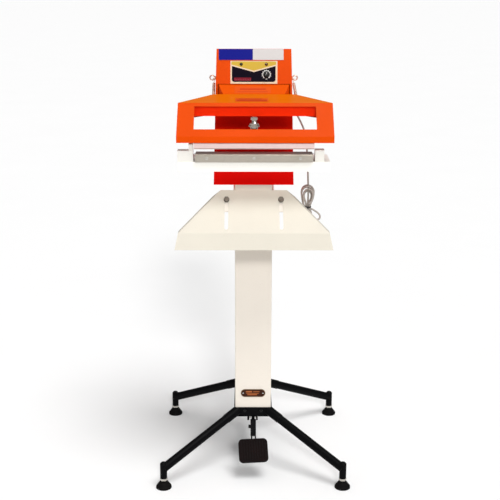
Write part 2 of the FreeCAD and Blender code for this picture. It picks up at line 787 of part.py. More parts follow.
def pedal_round(name, half, margin, radius, n0, thick):
    """A plate with rounded corners on the treadle's slope."""
    long = d.pad_long.v - 2 * margin
    corners = [(half, long / 2), (-half, long / 2), (-half, -long / 2), (half, -long / 2)]
    b = pad(name, "XY", corners, n0, thick)
    rounded(b, radius, lambda e: along(e, Z))
    mid = pad_low + pu * (d.pad_long.v / 2)
    return place(b, mid.x, mid.y, mid.z, twist * Rotation(X, slope))


hw = d.pad_width.v / 2
bar_side = [(-158, 113.9), (-147, 107), (-153, 98), (-186, 71), (-192.4, 79.0), (-160.9, 103.4)]
node(
    "pedal_plate",
    fuse(
        pedal_round("PadPlate", hw, 0, 13, -9, 4),
        pad("BarLeft", "YZ", bar_side, -6, 4),
        pad("BarRight", "YZ", bar_side, 5, 4),
    ),
)
grooves = [on_pedal(-hw + 8.4 + 7.6 * i, -hw + 10.6 + 7.6 * i, 6, d.pad_long.v - 6, -1.6, 3) for i in range(10)]
node("pedal_pad", cut(pedal_round("PadRubber", hw - 0.5, 0.5, 12.5, -5, 5), *grooves))

# pull rod with its fork end and nuts
node(
    "pull_rod",
    fuse(
        cyl(d.rod_radius, 1094 - 151, 0, d.rod_y, 151),
        hexa(13, 6, 0, d.rod_y, 159.5),
        hexa(13, 7, 0, d.rod_y, 1082),
        cyl(10, 2, 0, d.rod_y, 1080),
        cyl(9, 22, 0, d.rod_y, 1058),
        cyl(11, 1.6, 0, d.rod_y, 1057.2),
    ),
)
node(
    "rod_clevis",
    cut(
        box(-11, 12, d.rod_y - 10, d.rod_y + 10, 126, 159.5),
        box(-5.6, 6.6, d.rod_y - 15, d.rod_y + 15, 120, 150.5),
        cyl(4.7, 40, -20, d.rod_y, d.hinge_z, "x"),
        cyl(d.rod_radius, 20, 0, d.rod_y, 151),
    ),
)

# ---------------------------------------------------------------- screws of the frame, covers and jaw
screws = []
for x in (-24, 24):
    screws.append(cyl(4.5, 4, x, -half_deep - 4, 174, "y"))
    screws.append(cyl(4.5, 4, x, half_deep, 174, "y"))
for x in (-40, 40):
    for z in (215, 515, 820):
        screws.append(cyl(3.5, 2.4, x, half_cold, z, "y"))
for x in (-78, 78):
    for z in (884, 1086):
        screws.append(cyl(3.5, 2.4, x, 111.5, z, "y"))
for x in (-125, 0, 122):
    screws.append(cyl(4.2, 2.6, x, -240.6, 948, "y"))
    screws.append(cyl(4.2, 2.6, x, -187, 948, "y"))
node("frame_screws", group(*screws))

# ---------------------------------------------------------------- mains cord, hank, tie and plug
exit_dir = Vector(0.447, 0, -0.894).normalize()
gland_root = Vector(108.5, -45, 1062)
gland_tip = gland_root + exit_dir * 26
ball = place(doc.addObject("Part::Sphere", "Ball"), 108.5, -45, 1062)
ball.Radius = 5.6
node(
    "cord_gland",
    fuse(
        cyl(5.0, 9, 101, -45, 1063, "x"),
        cyl(8.5, 3, 105.8, -45, 1063, "x"),
        ball,
        cone(5.2, 3.1, 26, gland_root.x, gland_root.y, gland_root.z, exit_dir),
    ),
)


def tube(points, r, what):
    """A tube along straight runs joined by tangent arcs, each arc as large as its runs allow."""
    edges, at, total = [], points[0], 0.0
    tightest = 1e9
    for i in range(1, len(points) - 1):
        a, b, c = points[i - 1], points[i], points[i + 1]
        u, v = (b - a).normalize(), (c - b).normalize()
        turn = math.acos(max(-1, min(1, u.dot(v))))
        run = min((b - a).Length, (c - b).Length)
        set_back = 0.45 * run
        radius = set_back / math.tan(turn / 2)
        tightest = min(tightest, radius)
        p, q = b - u * set_back, b + v * set_back
        bis = (v - u).normalize()
        centre = b + bis * math.hypot(radius, set_back)
        m = centre - bis * radius
        edges.append(Part.LineSegment(at, p).toShape())
        edges.append(Part.Arc(p, m, q).toShape())
        total += (p - at).Length + radius * turn
        at = q
    edges.append(Part.LineSegment(at, points[-1]).toShape())
    total += (points[-1] - at).Length
    path = Part.Wire(edges)
    ring_ = Part.Wire([Part.Circle(points[0], (points[1] - points[0]).normalize(), r).toShape()])
    solid = path.makePipeShell([ring_], True, False)
    ideal = math.pi * r * r * total
    print("%s: length %.1f, tightest radius %.1f, volume/section*length %.4f" % (what, total, tightest, solid.Volume / ideal))
    if abs(solid.Volume / ideal - 1) > 0.01:
        sys.exit(what + ": the tube's volume is off")
    return solid


cr = d.cord_radius.v
upper = [
    gland_tip, Vector(131, -44.3, 1019), Vector(143, -43, 993), Vector(149.5, -42, 955),
    Vector(152, -41, 914), Vector(154.5, -40.5, 876), Vector(155, -40, 837.5),
]
node("cord_upper", free(tube(upper, cr, "cord_upper")))
tail = [Vector(150, -40, 728.2), Vector(149.2, -39.6, 721), Vector(147.4, -39.2, 714)]
node("cord_tail", free(tube(tail, cr, "cord_tail")))
# folded hank: wide above its tie, fanned out below it
hank_side = [
    (142, 837.5), (165, 837.5), (173.5, 824), (174, 806), (163, 780), (163, 770), (180, 763), (192.5, 749),
    (191.5, 736), (178, 733), (168, 732), (160, 728.2), (144, 728.2), (135, 738), (136, 754), (143, 768), (143, 780), (137, 798), (135, 822),
]
node("cord_hank", pad("Hank", "XZ", hank_side, 31, 18))
node("cord_tie", cut(box(141.4, 164.6, -50.6, -29.4, 770, 777), box(143, 163, -49, -31, 765, 785)))
node(
    "plug",
    fuse(
        cone(10, 3.4, 14, 147, -39, 700),
        cone(14, 10, 8, 147, -39, 692),
        cyl(15.5, 14, 147, -39, 678.1),
        cyl(2.4, 19, 147 - 6, -39, 659.5),
        cyl(2.4, 19, 147 + 6, -39, 659.5),
    ),
)

# ---------------------------------------------------------------- check and write
doc.recompute()
bad = []
for o in doc.Objects:
    if any(word in ("Invalid", "Error") for word in o.State):
        bad.append((o.Name, o.Label, o.State))
for label_, o in NODES:
    s = o.Shape
    if s.isNull() or not s.isValid() or not s.Solids:
        bad.append((label_, "shape"))
if bad:
    print(bad)
    sys.exit("failed objects")
os.makedirs("parts", exist_ok=True)
for label_, o in NODES:
    s = o.Shape
    print("%-22s %2d solid(s) %10.0f mm3" % (label_, len(s.Solids), s.Volume))
    s.exportStep("parts/%s.step" % label_)
print(len(NODES), "nodes")
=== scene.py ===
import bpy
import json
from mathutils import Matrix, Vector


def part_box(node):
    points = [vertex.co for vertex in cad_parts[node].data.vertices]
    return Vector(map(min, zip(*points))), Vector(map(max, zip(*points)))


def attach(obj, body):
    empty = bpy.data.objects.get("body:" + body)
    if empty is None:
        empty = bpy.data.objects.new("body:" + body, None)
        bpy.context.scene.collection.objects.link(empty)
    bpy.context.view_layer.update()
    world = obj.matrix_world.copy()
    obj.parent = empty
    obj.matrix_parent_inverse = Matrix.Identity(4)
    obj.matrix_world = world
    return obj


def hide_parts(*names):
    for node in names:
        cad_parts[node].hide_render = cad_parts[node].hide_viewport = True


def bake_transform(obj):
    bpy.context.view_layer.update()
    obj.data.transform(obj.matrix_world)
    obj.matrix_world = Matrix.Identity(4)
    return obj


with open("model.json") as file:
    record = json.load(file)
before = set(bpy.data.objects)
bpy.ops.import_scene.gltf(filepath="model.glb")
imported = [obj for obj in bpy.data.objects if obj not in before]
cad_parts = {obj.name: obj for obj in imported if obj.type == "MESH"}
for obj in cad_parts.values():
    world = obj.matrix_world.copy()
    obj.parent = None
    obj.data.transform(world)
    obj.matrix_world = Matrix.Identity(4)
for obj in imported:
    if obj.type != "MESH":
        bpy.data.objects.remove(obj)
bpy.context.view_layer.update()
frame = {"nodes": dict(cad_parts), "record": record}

import json
import math
import random
import bpy
import bmesh
from mathutils import Vector, Matrix, Quaternion

random.seed(7)
SC = bpy.context.scene
COLL = SC.collection
NODES = frame["nodes"]
REC = frame["record"]
SLOT = {s["node"]: s["material_slot"] for s in REC["subparts"]}
MM = 0.001


def link(o):
    COLL.objects.link(o)
    return o


# ------------------------------------------------------------------ camera
cam_data = bpy.data.cameras.new("camera")
cam_data.sensor_width = 36.0
cam_data.sensor_fit = "HORIZONTAL"
cam_data.lens = 1026.85 / 500.0 * 36.0
cam_data.clip_start = 0.05
cam_data.clip_end = 60.0
cam = link(bpy.data.objects.new("camera", cam_data))
cam.location = (-0.02102, -2.91139, 1.42287)
pitch, yaw, roll = (math.radians(v) for v in (15.17, 0.23, 0.11))
fwd = Vector((math.sin(yaw) * math.cos(pitch), math.cos(yaw) * math.cos(pitch), -math.sin(pitch)))
right = Vector((math.cos(yaw), -math.sin(yaw), 0))
up = right.cross(fwd)
r2 = right * math.cos(roll) + up * math.sin(roll)
u2 = -right * math.sin(roll) + up * math.cos(roll)
cam.rotation_euler = Matrix((r2, u2, -fwd)).transposed().to_euler()
SC.camera = cam

# ------------------------------------------------------------------ mains cord
CORD_D = 0.005
tip = (120.1, -45.0, 1038.8)
route = [
    tip, (131, -44.3, 1019), (143, -43, 993), (149.5, -42, 955), (152, -41, 914),
    (154.5, -40.5, 876), (155.5, -38.5, 850), (156.5, -35.5, 828), (157, -34, 803), (156, -34, 786),
]


def below(points):
    route.extend(points)


# strand in, out to the small loop on the right, and back up on the left
below([(155.5, -34, 773), (161, -33.5, 767.5), (170, -33, 764), (179, -33, 758.2), (187.2, -33.2, 752.0), (192.6, -33.8, 744.0),
       (190.4, -34.8, 735.4), (181.6, -36.0, 733.6), (173.6, -36.8, 740.4), (166, -36.9, 749.6), (158, -36, 758.8), (151, -35.2, 765), (146.2, -34, 774)])


def top_loop(c, a, top, y0, y1, x_up, x_down, lean_=0.0):
    """From the waist up on the left, over the top and down on the right to the waist."""
    below([
        (x_up - 0.25 * a, y0, 784), (c - 0.86 * a, y0, 796), (c - 1.0 * a + lean_, y0, top - 22),
        (c - 0.92 * a + lean_, y0 + 0.3 * (y1 - y0), top - 10), (c - 0.52 * a + lean_, y0 + 0.5 * (y1 - y0), top - 1.5),
        (c + 0.06 * a + lean_, y0 + 0.6 * (y1 - y0), top + 0.8), (c + 0.62 * a + lean_, y0 + 0.8 * (y1 - y0), top - 3.4),
        (c + 0.97 * a + lean_, y1, top - 13), (c + 1.0 * a, y1, top - 25), (c + 0.82 * a, y1, 793), (x_down + 0.25 * a, y1, 783),
        (x_down, y1, 773),
    ])


def bottom_loop(x0, y0, x1, y1, c, a, low):
    """From the waist down on the right, round the low end and up on the left."""
    below([
        (x0 + 1.5, y0, 764), (c + 0.98 * a, y0, 755.5), (c + 1.02 * a, y0, low + 15), (c + 0.82 * a, y0 + 0.2 * (y1 - y0), low + 5.5),
        (c + 0.32 * a, y0 + 0.4 * (y1 - y0), low + 0.6), (c - 0.32 * a, y0 + 0.6 * (y1 - y0), low + 0.6), (c - 0.82 * a, y0 + 0.8 * (y1 - y0), low + 5.5),
        (c - 1.02 * a, y1, low + 15), (c - 0.98 * a, y1, 755.5), (x1 - 1.5, y1, 764), (x1, y1, 773),
    ])


top_loop(155.0, 18.0, 834.5, -34, -34, 146.2, 160.3)
bottom_loop(160.3, -34, 145.6, -40, 152, 14.5, 730.8)
top_loop(154.4, 16.6, 830.5, -40, -40, 145.6, 160.3, -0.8)
bottom_loop(160.3, -40, 145.9, -46, 152.6, 13.5, 733)
top_loop(155.2, 14.0, 825, -46, -45, 145.9, 159.5, 0.8)
below([(160.6, -45, 764), (161.8, -44.6, 755), (161.9, -44.2, 746.5), (157.3, -43.6, 739), (150, -42.8, 736.8), (143.2, -42.2, 740.2),
       (140.6, -41.6, 748), (142.4, -41.2, 757), (147, -41, 765.5), (150.6, -40.5, 774.5)])
below([(150.2, -39.5, 785), (146, -38.5, 795.5), (143.6, -38, 806), (147.3, -37.4, 815.5), (155.6, -36.8, 819.2), (163.6, -36.2, 814.8),
       (166.3, -35.8, 805), (163.8, -35.5, 794.5), (158.5, -35.5, 784), (155.5, -36, 773.5)])
# down to the plug
below([(155.6, -37, 763.5), (156.5, -38, 753.5), (155.5, -38.5, 744), (152, -38.8, 734.5), (149, -39, 725.5), (147.3, -39, 718), (147, -39, 711.5)])

cu = bpy.data.curves.new("mains_cord", "CURVE")
cu.dimensions = "3D"
cu.bevel_depth = CORD_D / 2
cu.bevel_resolution = 5
cu.resolution_u = 6
sp = cu.splines.new("NURBS")
sp.points.add(len(route) - 1)
for p, q in zip(sp.points, route):
    p.co = (q[0] * MM, q[1] * MM, q[2] * MM, 1.0)
sp.order_u = 3
sp.use_endpoint_u = True
cord = link(bpy.data.objects.new("mains_cord", cu))


bare = bpy.data.objects.new("bare", cu.copy())
bare.data.bevel_depth = 0
line_mesh = bpy.data.meshes.new_from_object(bare)
bpy.data.meshes.remove(line_mesh)
bpy.data.curves.remove(bare.data)

# ------------------------------------------------------------------ materials
def new_mat(name):
    m = bpy.data.materials.new(name)
    m.use_nodes = True
    nt = m.node_tree
    nt.nodes.clear()
    out = nt.nodes.new("ShaderNodeOutputMaterial")
    b = nt.nodes.new("ShaderNodeBsdfPrincipled")
    nt.links.new(b.outputs[0], out.inputs[0])
    tc = nt.nodes.new("ShaderNodeTexCoord")
    return m, nt, b, tc


def node(nt, kind, **props):
    n = nt.nodes.new(kind)
    for k, v in props.items():
        if k.startswith("i_"):
            n.inputs[k[2:].replace("_", " ")].default_value = v
        else:
            setattr(n, k, v)
    return n


def noise(nt, tc, scale, detail=3.0, rough=0.55, stretch=None):
    n = node(nt, "ShaderNodeTexNoise")
    n.inputs["Scale"].default_value = scale
    n.inputs["Detail"].default_value = detail
    n.inputs["Roughness"].default_value = rough
    if stretch:
        mp = node(nt, "ShaderNodeMapping")
        mp.inputs["Scale"].default_value = stretch
        nt.links.new(tc.outputs["Object"], mp.inputs[0])
        nt.links.new(mp.outputs[0], n.inputs["Vector"])
    else:
        nt.links.new(tc.outputs["Object"], n.inputs["Vector"])
    return n


def ramp(nt, src, stops, kind="LINEAR"):
    r = node(nt, "ShaderNodeValToRGB")
    r.color_ramp.interpolation = kind
    els = r.color_ramp.elements
    while len(els) < len(stops):
        els.new(0.5)
    for e, (p, c) in zip(els, stops):
        e.position = p
        e.color = (*c, 1.0) if len(c) == 3 else c
    nt.links.new(src, r.inputs[0])
    return r


def mix(nt, fac, a, b, blend="MIX"):
    m = node(nt, "ShaderNodeMix", data_type="RGBA", blend_type=blend)
    for sock, v in ((m.inputs[0], fac), (m.inputs[6], a), (m.inputs[7], b)):
        if isinstance(v, bpy.types.NodeSocket):
            nt.links.new(v, sock)
        elif isinstance(v, (int, float)):
            sock.default_value = v
        else:
            sock.default_value = (*v, 1.0)
    return m.outputs[2]


def math_node(nt, op, a, b=None, clamp=False):
    m = node(nt, "ShaderNodeMath", operation=op, use_clamp=clamp)
    for sock, v in ((m.inputs[0], a), (m.inputs[1], b)):
        if v is None:
            continue
        if isinstance(v, bpy.types.NodeSocket):
            nt.links.new(v, sock)
        else:
            sock.default_value = v
    return m.outputs[0]


def bump(nt, bsdf, height, strength=0.2, dist=0.001, after=None):
    b = node(nt, "ShaderNodeBump")
    b.inputs["Strength"].default_value = strength
    b.inputs["Distance"].default_value = dist
    nt.links.new(height, b.inputs["Height"])
    if after is not None:
        nt.links.new(after, b.inputs["Normal"])
    nt.links.new(b.outputs[0], bsdf.inputs["Normal"])
    return b.outputs[0]


def edge_mask(nt, radius=0.0012):
    """1 near sharp edges, 0 on flats: from how far the rounded normal turns from the true one."""
    bv = node(nt, "ShaderNodeBevel", samples=4)
    bv.inputs["Radius"].default_value = radius
    geo = node(nt, "ShaderNodeNewGeometry")
    dot = node(nt, "ShaderNodeVectorMath", operation="DOT_PRODUCT")
    nt.links.new(bv.outputs[0], dot.inputs[0])
    nt.links.new(geo.outputs["Normal"], dot.inputs[1])
    inv = math_node(nt, "SUBTRACT", 1.0, dot.outputs["Value"])
    return math_node(nt, "MULTIPLY", inv, 5.0, clamp=True)


def paint(name, colour, deep=None, rough=0.32, coat=0.35, wear=(0.55, 0.5, 0.45), wear_amount=0.35, peel=0.05, vary=0.06, painted_shade_below=None, spec=0.22, painted_top_light=None, inner=None):
    """Powder coat: slight tone drift, orange peel, softer and duller patches, and thin worn edges."""
    m, nt, b, tc = new_mat(name)
    deep = deep or tuple(c * 0.82 for c in colour)
    big = noise(nt, tc, 5.0, 4.0, 0.6)
    base = mix(nt, ramp(nt, big.outputs[0], [(0.35, (0, 0, 0)), (0.68, (1, 1, 1))]).outputs[0], colour, tuple(c * (1 - vary) for c in colour))
    # painted shade: below z0 the paint turns to the deep red that this orange shows in shade, a little less deep in the
    # band just under the seam
    if painted_shade_below:
        lowc, z0, z1 = painted_shade_below
        sep = node(nt, "ShaderNodeSeparateXYZ")
        nt.links.new(tc.outputs["Object"], sep.inputs[0])
        mr = node(nt, "ShaderNodeMapRange")
        mr.inputs["From Min"].default_value = z0
        mr.inputs["From Max"].default_value = z1
        nt.links.new(sep.outputs[2], mr.inputs["Value"])
        shade_tone_ramp = node(nt, "ShaderNodeMapRange")
        shade_tone_ramp.inputs["From Min"].default_value = z0 - 0.075
        shade_tone_ramp.inputs["From Max"].default_value = z0 - 0.035
        nt.links.new(sep.outputs[2], shade_tone_ramp.inputs["Value"])
        lower = mix(nt, shade_tone_ramp.outputs[0], lowc, (0.95, 0.010, 0.0015))
        base = mix(nt, mr.outputs[0], lower, base)
    # painted light: faces that point up are mixed toward a lighter, yellower orange, standing in for the light from
    # above
    if painted_top_light:
        up_geo = node(nt, "ShaderNodeNewGeometry")
        up_sep = node(nt, "ShaderNodeSeparateXYZ")
        nt.links.new(up_geo.outputs["Normal"], up_sep.inputs[0])
        up_map = node(nt, "ShaderNodeMapRange")
        up_map.inputs["From Min"].default_value = 0.70
        up_map.inputs["From Max"].default_value = 0.97
        nt.links.new(up_sep.outputs[2], up_map.inputs["Value"])
        base = mix(nt, up_map.outputs[0], base, painted_top_light)
    if inner:
        # painted shade: walls inside the hood that face the front, behind its own front sheet, take the redder tone
        # they show in shade
        in_pos = node(nt, "ShaderNodeSeparateXYZ")
        nt.links.new(tc.outputs["Object"], in_pos.inputs[0])
        in_geo = node(nt, "ShaderNodeNewGeometry")
        in_dir = node(nt, "ShaderNodeSeparateXYZ")
        nt.links.new(in_geo.outputs["Normal"], in_dir.inputs[0])
        lean_back = math_node(nt, "MULTIPLY", in_pos.outputs[2], 0.37)
        behind = math_node(nt, "GREATER_THAN", math_node(nt, "SUBTRACT", in_pos.outputs[1], lean_back), inner[1])
        facing = math_node(nt, "LESS_THAN", in_dir.outputs[1], -0.5)
        upright = math_node(nt, "LESS_THAN", in_dir.outputs[2], 0.35)
        mask = math_node(nt, "MULTIPLY", math_node(nt, "MULTIPLY", behind, facing), upright)
        mask = math_node(nt, "MULTIPLY", mask, math_node(nt, "GREATER_THAN", in_pos.outputs[2], 1.05))
        base = mix(nt, mask, base, inner[0])
    speck = noise(nt, tc, 260.0, 2.0, 0.5)
    base = mix(nt, math_node(nt, "MULTIPLY", ramp(nt, speck.outputs[0], [(0.62, (0, 0, 0)), (0.75, (1, 1, 1))]).outputs[0], 0.16), base, deep)
    edge = edge_mask(nt)
    brk = noise(nt, tc, 45.0, 4.0, 0.7)
    worn = math_node(nt, "MULTIPLY", edge, ramp(nt, brk.outputs[0], [(0.5, (0, 0, 0)), (0.72, (1, 1, 1))]).outputs[0])
    base = mix(nt, math_node(nt, "MULTIPLY", worn, wear_amount), base, wear)
    nt.links.new(base, b.inputs["Base Color"])
    r = node(nt, "ShaderNodeMapRange")
    r.inputs["To Min"].default_value = rough * 0.85
    r.inputs["To Max"].default_value = rough * 1.3
    rn = noise(nt, tc, 14.0, 5.0, 0.65)
    nt.links.new(rn.outputs[0], r.inputs["Value"])
    nt.links.new(r.outputs[0], b.inputs["Roughness"])
    b.inputs["Coat Weight"].default_value = coat
    b.inputs["Coat Roughness"].default_value = 0.18
    b.inputs["Specular IOR Level"].default_value = spec
    pe = noise(nt, tc, 520.0, 2.0, 0.5)
    bump(nt, b, pe.outputs[0], peel, 0.0006)
    return m


def metal(name, colour, dark, rough=0.3, grain=(1, 40, 40), scale=60.0, spots=0.3, peel=0.12, low=None):
    """Bare metal with drawn grain along one axis, tarnish and small marks."""
    m, nt, b, tc = new_mat(name)
    g = noise(nt, tc, scale, 3.0, 0.6, grain)
    t = noise(nt, tc, 30.0, 5.0, 0.7)
    base = mix(nt, ramp(nt, g.outputs[0], [(0.3, (0, 0, 0)), (0.7, (1, 1, 1))]).outputs[0], colour, tuple((a + c) / 2 for a, c in zip(colour, dark)))
    base = mix(nt, math_node(nt, "MULTIPLY", ramp(nt, t.outputs[0], [(0.52, (0, 0, 0)), (0.75, (1, 1, 1))]).outputs[0], spots), base, dark)
    if low:
        sep = node(nt, "ShaderNodeSeparateXYZ")
        nt.links.new(tc.outputs["Object"], sep.inputs[0])
        base = mix(nt, math_node(nt, "GREATER_THAN", sep.outputs[2], low[1]), low[0], base)
    nt.links.new(base, b.inputs["Base Color"])
    b.inputs["Metallic"].default_value = 1.0
    r = node(nt, "ShaderNodeMapRange")
    r.inputs["To Min"].default_value = rough * 0.7
    r.inputs["To Max"].default_value = rough * 1.5
    nt.links.new(t.outputs[0], r.inputs["Value"])
    nt.links.new(r.outputs[0], b.inputs["Roughness"])
    bump(nt, b, g.outputs[0], peel, 0.0004)
    return m


def plastic(name, colour, rough=0.45, vary=0.12, scale=500.0, grain=0.12, metallic=0.0, coat=0.0, deep=None, edge=0.0, spec=0.15):
    m, nt, b, tc = new_mat(name)
    n1 = noise(nt, tc, 25.0, 4.0, 0.6)
    n2 = noise(nt, tc, scale, 3.0, 0.6)
    base = mix(nt, n1.outputs[0], colour, deep or tuple(c * (1 - vary) for c in colour))
    # painted highlight: sharp edges are lightened, standing in for light catching them
    if edge:
        base = mix(nt, math_node(nt, "MULTIPLY", edge_mask(nt, 0.0008), edge), base, tuple(min(1, c * 1.5 + 0.06) for c in colour))
    nt.links.new(base, b.inputs["Base Color"])
    r = node(nt, "ShaderNodeMapRange")
    r.inputs["To Min"].default_value = rough * 0.85
    r.inputs["To Max"].default_value = min(1.0, rough * 1.2)
    nt.links.new(n1.outputs[0], r.inputs["Value"])
    nt.links.new(r.outputs[0], b.inputs["Roughness"])
    b.inputs["Coat Weight"].default_value = coat
    b.inputs["Specular IOR Level"].default_value = spec
    bump(nt, b, n2.outputs[0], grain, 0.0005)
    return m


ORANGE = (0.74, 0.068, 0.001)
# painted shade: a deep red standing for the orange paint in shade, used on the lower housing and on the housing floor
SHADE_RED = (0.94, 0.002, 0.0005)
CREAM = (0.83, 0.765, 0.68)
M = {}
# orange_paint: painted light on upward faces and painted shade on the front-facing walls inside the hood
M["orange_paint"] = paint("orange_paint", ORANGE, (0.50, 0.03, 0.001), spec=0.035, painted_top_light=(0.72, 0.150, 0.001), inner=((0.95, 0.026, 0.001), -0.6145), rough=0.34, coat=0.0, wear=(0.35, 0.12, 0.06), wear_amount=0.4)
# housing_paint: painted shade, deep red below the seam at z 1.0425
M["housing_paint"] = paint("housing_paint", ORANGE, (0.5, 0.02, 0.001), rough=0.34, coat=0.0, wear=(0.35, 0.10, 0.05), wear_amount=0.4, painted_shade_below=(SHADE_RED, 1.0425, 1.0435), spec=0.035)
M["shade_red_paint"] = paint("shade_red_paint", SHADE_RED, (0.45, 0.002, 0.001), spec=0.035, rough=0.34, coat=0.0, wear=(0.25, 0.05, 0.04), wear_amount=0.4)
M["cream_paint"] = paint("cream_paint", CREAM, (0.62, 0.55, 0.45), rough=0.38, coat=0.1, wear=(0.30, 0.27, 0.24), wear_amount=0.5, vary=0.045)
# painted light: a brighter copy of the cream for the upright face of the lower jaw body, which gets less light from
# above
M["jaw_cream_lit_copy"] = paint("jaw_cream_lit_copy", (0.94, 0.92, 0.86), (0.66, 0.62, 0.54), rough=0.36, coat=0.1, wear=(0.30, 0.27, 0.24), wear_amount=0.4, vary=0.03)
M["tray_paint"] = paint("tray_paint", (0.72, 0.675, 0.58), (0.53, 0.48, 0.38), rough=0.36, coat=0.1, wear=(0.30, 0.27, 0.24), wear_amount=0.45, vary=0.04)
M["black_paint"] = paint("black_paint", (0.0035, 0.0035, 0.004), (0.0015, 0.0015, 0.0015), rough=0.36, coat=0.0, wear=(0.12, 0.11, 0.10), wear_amount=0.4, vary=0.2, peel=0.08, spec=0.04)
M["sign_blue"] = paint("sign_blue", (0.006, 0.009, 0.235), (0.004, 0.005, 0.13), spec=0.04, rough=0.28, coat=0.0, wear=(0.4, 0.4, 0.5), wear_amount=0.3, peel=0.02)
M["sign_white"] = paint("sign_white", (0.60, 0.58, 0.565), (0.5, 0.47, 0.46), rough=0.28, coat=0.05, wear=(0.5, 0.48, 0.46), wear_amount=0.3, peel=0.02, vary=0.03)
M["name_brass"] = metal("name_brass", (0.36, 0.235, 0.115), (0.12, 0.07, 0.03), rough=0.42, grain=(2, 60, 60), scale=40.0, spots=0.6)
M["zinc_steel"] = metal("zinc_steel", (0.62, 0.60, 0.56), (0.28, 0.25, 0.20), rough=0.30, grain=(1, 1, 12), scale=60.0, spots=0.4)
M["screw_steel"] = metal("screw_steel", (0.66, 0.64, 0.60), (0.28, 0.25, 0.20), rough=0.30, grain=(1, 1, 12), scale=60.0, spots=0.4, low=((0.02, 0.02, 0.02), 0.25))
M["spring_steel"] = metal("spring_steel", (0.95, 0.68, 0.55), (0.46, 0.25, 0.17), rough=0.34, grain=(3, 3, 30), scale=60.0, spots=0.45)
M["aluminium"] = metal("aluminium", (0.56, 0.51, 0.44), (0.30, 0.26, 0.21), rough=0.34, grain=(0.8, 55, 55), scale=55.0, spots=0.25)
M["upper_alu"] = metal("upper_alu", (0.98, 0.77, 0.74), (0.66, 0.46, 0.44), rough=0.36, grain=(0.8, 55, 55), scale=55.0, spots=0.2)
M["stud_steel"] = metal("stud_steel", (0.46, 0.42, 0.37), (0.07, 0.05, 0.045), rough=0.16, grain=(1, 1, 30), scale=60.0, spots=0.5, peel=0.05)
M["chrome"] = metal("chrome", (0.72, 0.70, 0.68), (0.40, 0.38, 0.36), rough=0.12, grain=(1, 1, 30), scale=60.0, spots=0.25, peel=0.04)
M["core_steel"] = metal("core_steel", (0.20, 0.19, 0.18), (0.08, 0.07, 0.07), rough=0.55, grain=(1, 500, 1), scale=30.0, spots=0.5, peel=0.5)
M["dark_zinc"] = metal("dark_zinc", (0.30, 0.28, 0.25), (0.10, 0.09, 0.07), rough=0.34, grain=(1, 1, 12), scale=60.0, spots=0.5)
M["element_wire"] = metal("element_wire", (0.42, 0.38, 0.34), (0.15, 0.11, 0.09), rough=0.3, grain=(1, 60, 60), scale=60.0, spots=0.6)
M["coil_yellow"] = plastic("coil_yellow", (0.55, 0.32, 0.04), rough=0.3, coat=0.4)
M["board_green"] = plastic("board_green", (0.01, 0.10, 0.03), rough=0.35, coat=0.3)
M["lamp_amber"] = plastic("lamp_amber", (0.16, 0.045, 0.006), rough=0.12, coat=0.8, grain=0.02)
M["lamp_green"] = plastic("lamp_green", (0.03, 0.035, 0.012), rough=0.12, coat=0.8, grain=0.02)
M["knob_black"] = plastic("knob_black", (0.012, 0.012, 0.013), rough=0.35, coat=0.2, edge=0.2)
M["label_black"] = plastic("label_black", (0.004, 0.0012, 0.008), rough=0.24, coat=0.0, grain=0.03, spec=0.04)
M["label_cream"] = plastic("label_cream", (0.78, 0.62, 0.44), rough=0.3, coat=0.0, grain=0.03, vary=0.05)
M["label_yellow"] = plastic("label_yellow", (0.62, 0.43, 0.045), rough=0.26, coat=0.0, grain=0.03, deep=(0.56, 0.37, 0.06), spec=0.06)
M["label_maroon"] = plastic("label_maroon", (0.19, 0.010, 0.022), rough=0.25, coat=0.0, grain=0.02, spec=0.05)
M["label_pink"] = plastic("label_pink", (0.36, 0.08, 0.12), rough=0.25, coat=0.0, grain=0.02, spec=0.05)
M["label_white"] = plastic("label_white", (0.64, 0.62, 0.60), rough=0.3, coat=0.0, grain=0.02, vary=0.04)
M["sticker_orange"] = plastic("sticker_orange", (0.72, 0.085, 0.002), rough=0.34, grain=0.02, vary=0.06)
M["sticker_red"] = plastic("sticker_red", (0.55, 0.035, 0.004), rough=0.34, grain=0.02, vary=0.08)
M["copper_rows"] = plastic("copper_rows", (0.42, 0.12, 0.035), rough=0.35, grain=0.05, vary=0.15)
M["silicone"] = plastic("silicone", (0.70, 0.52, 0.46), rough=0.55, grain=0.2)
M["terminal_white"] = plastic("terminal_white", (0.84, 0.82, 0.76), rough=0.4, coat=0.15, grain=0.06, edge=0.3, vary=0.06)
M["pedal_rubber"] = plastic("pedal_rubber", (0.004, 0.0035, 0.0035), rough=0.66, scale=900.0, grain=0.3, deep=(0.012, 0.006, 0.006), edge=0.35, spec=0.03)
M["foot_rubber"] = plastic("foot_rubber", (0.003, 0.003, 0.003), rough=0.6, scale=700.0, grain=0.2, deep=(0.009, 0.008, 0.008), edge=0.1, spec=0.03)
M["cord_grey"] = plastic("cord_grey", (0.47, 0.415, 0.37), rough=0.42, scale=900.0, grain=0.08, coat=0.05, deep=(0.30, 0.27, 0.245))
M["plug_black"] = plastic("plug_black", (0.02, 0.02, 0.021), rough=0.42, scale=600.0, grain=0.15, edge=0.2)


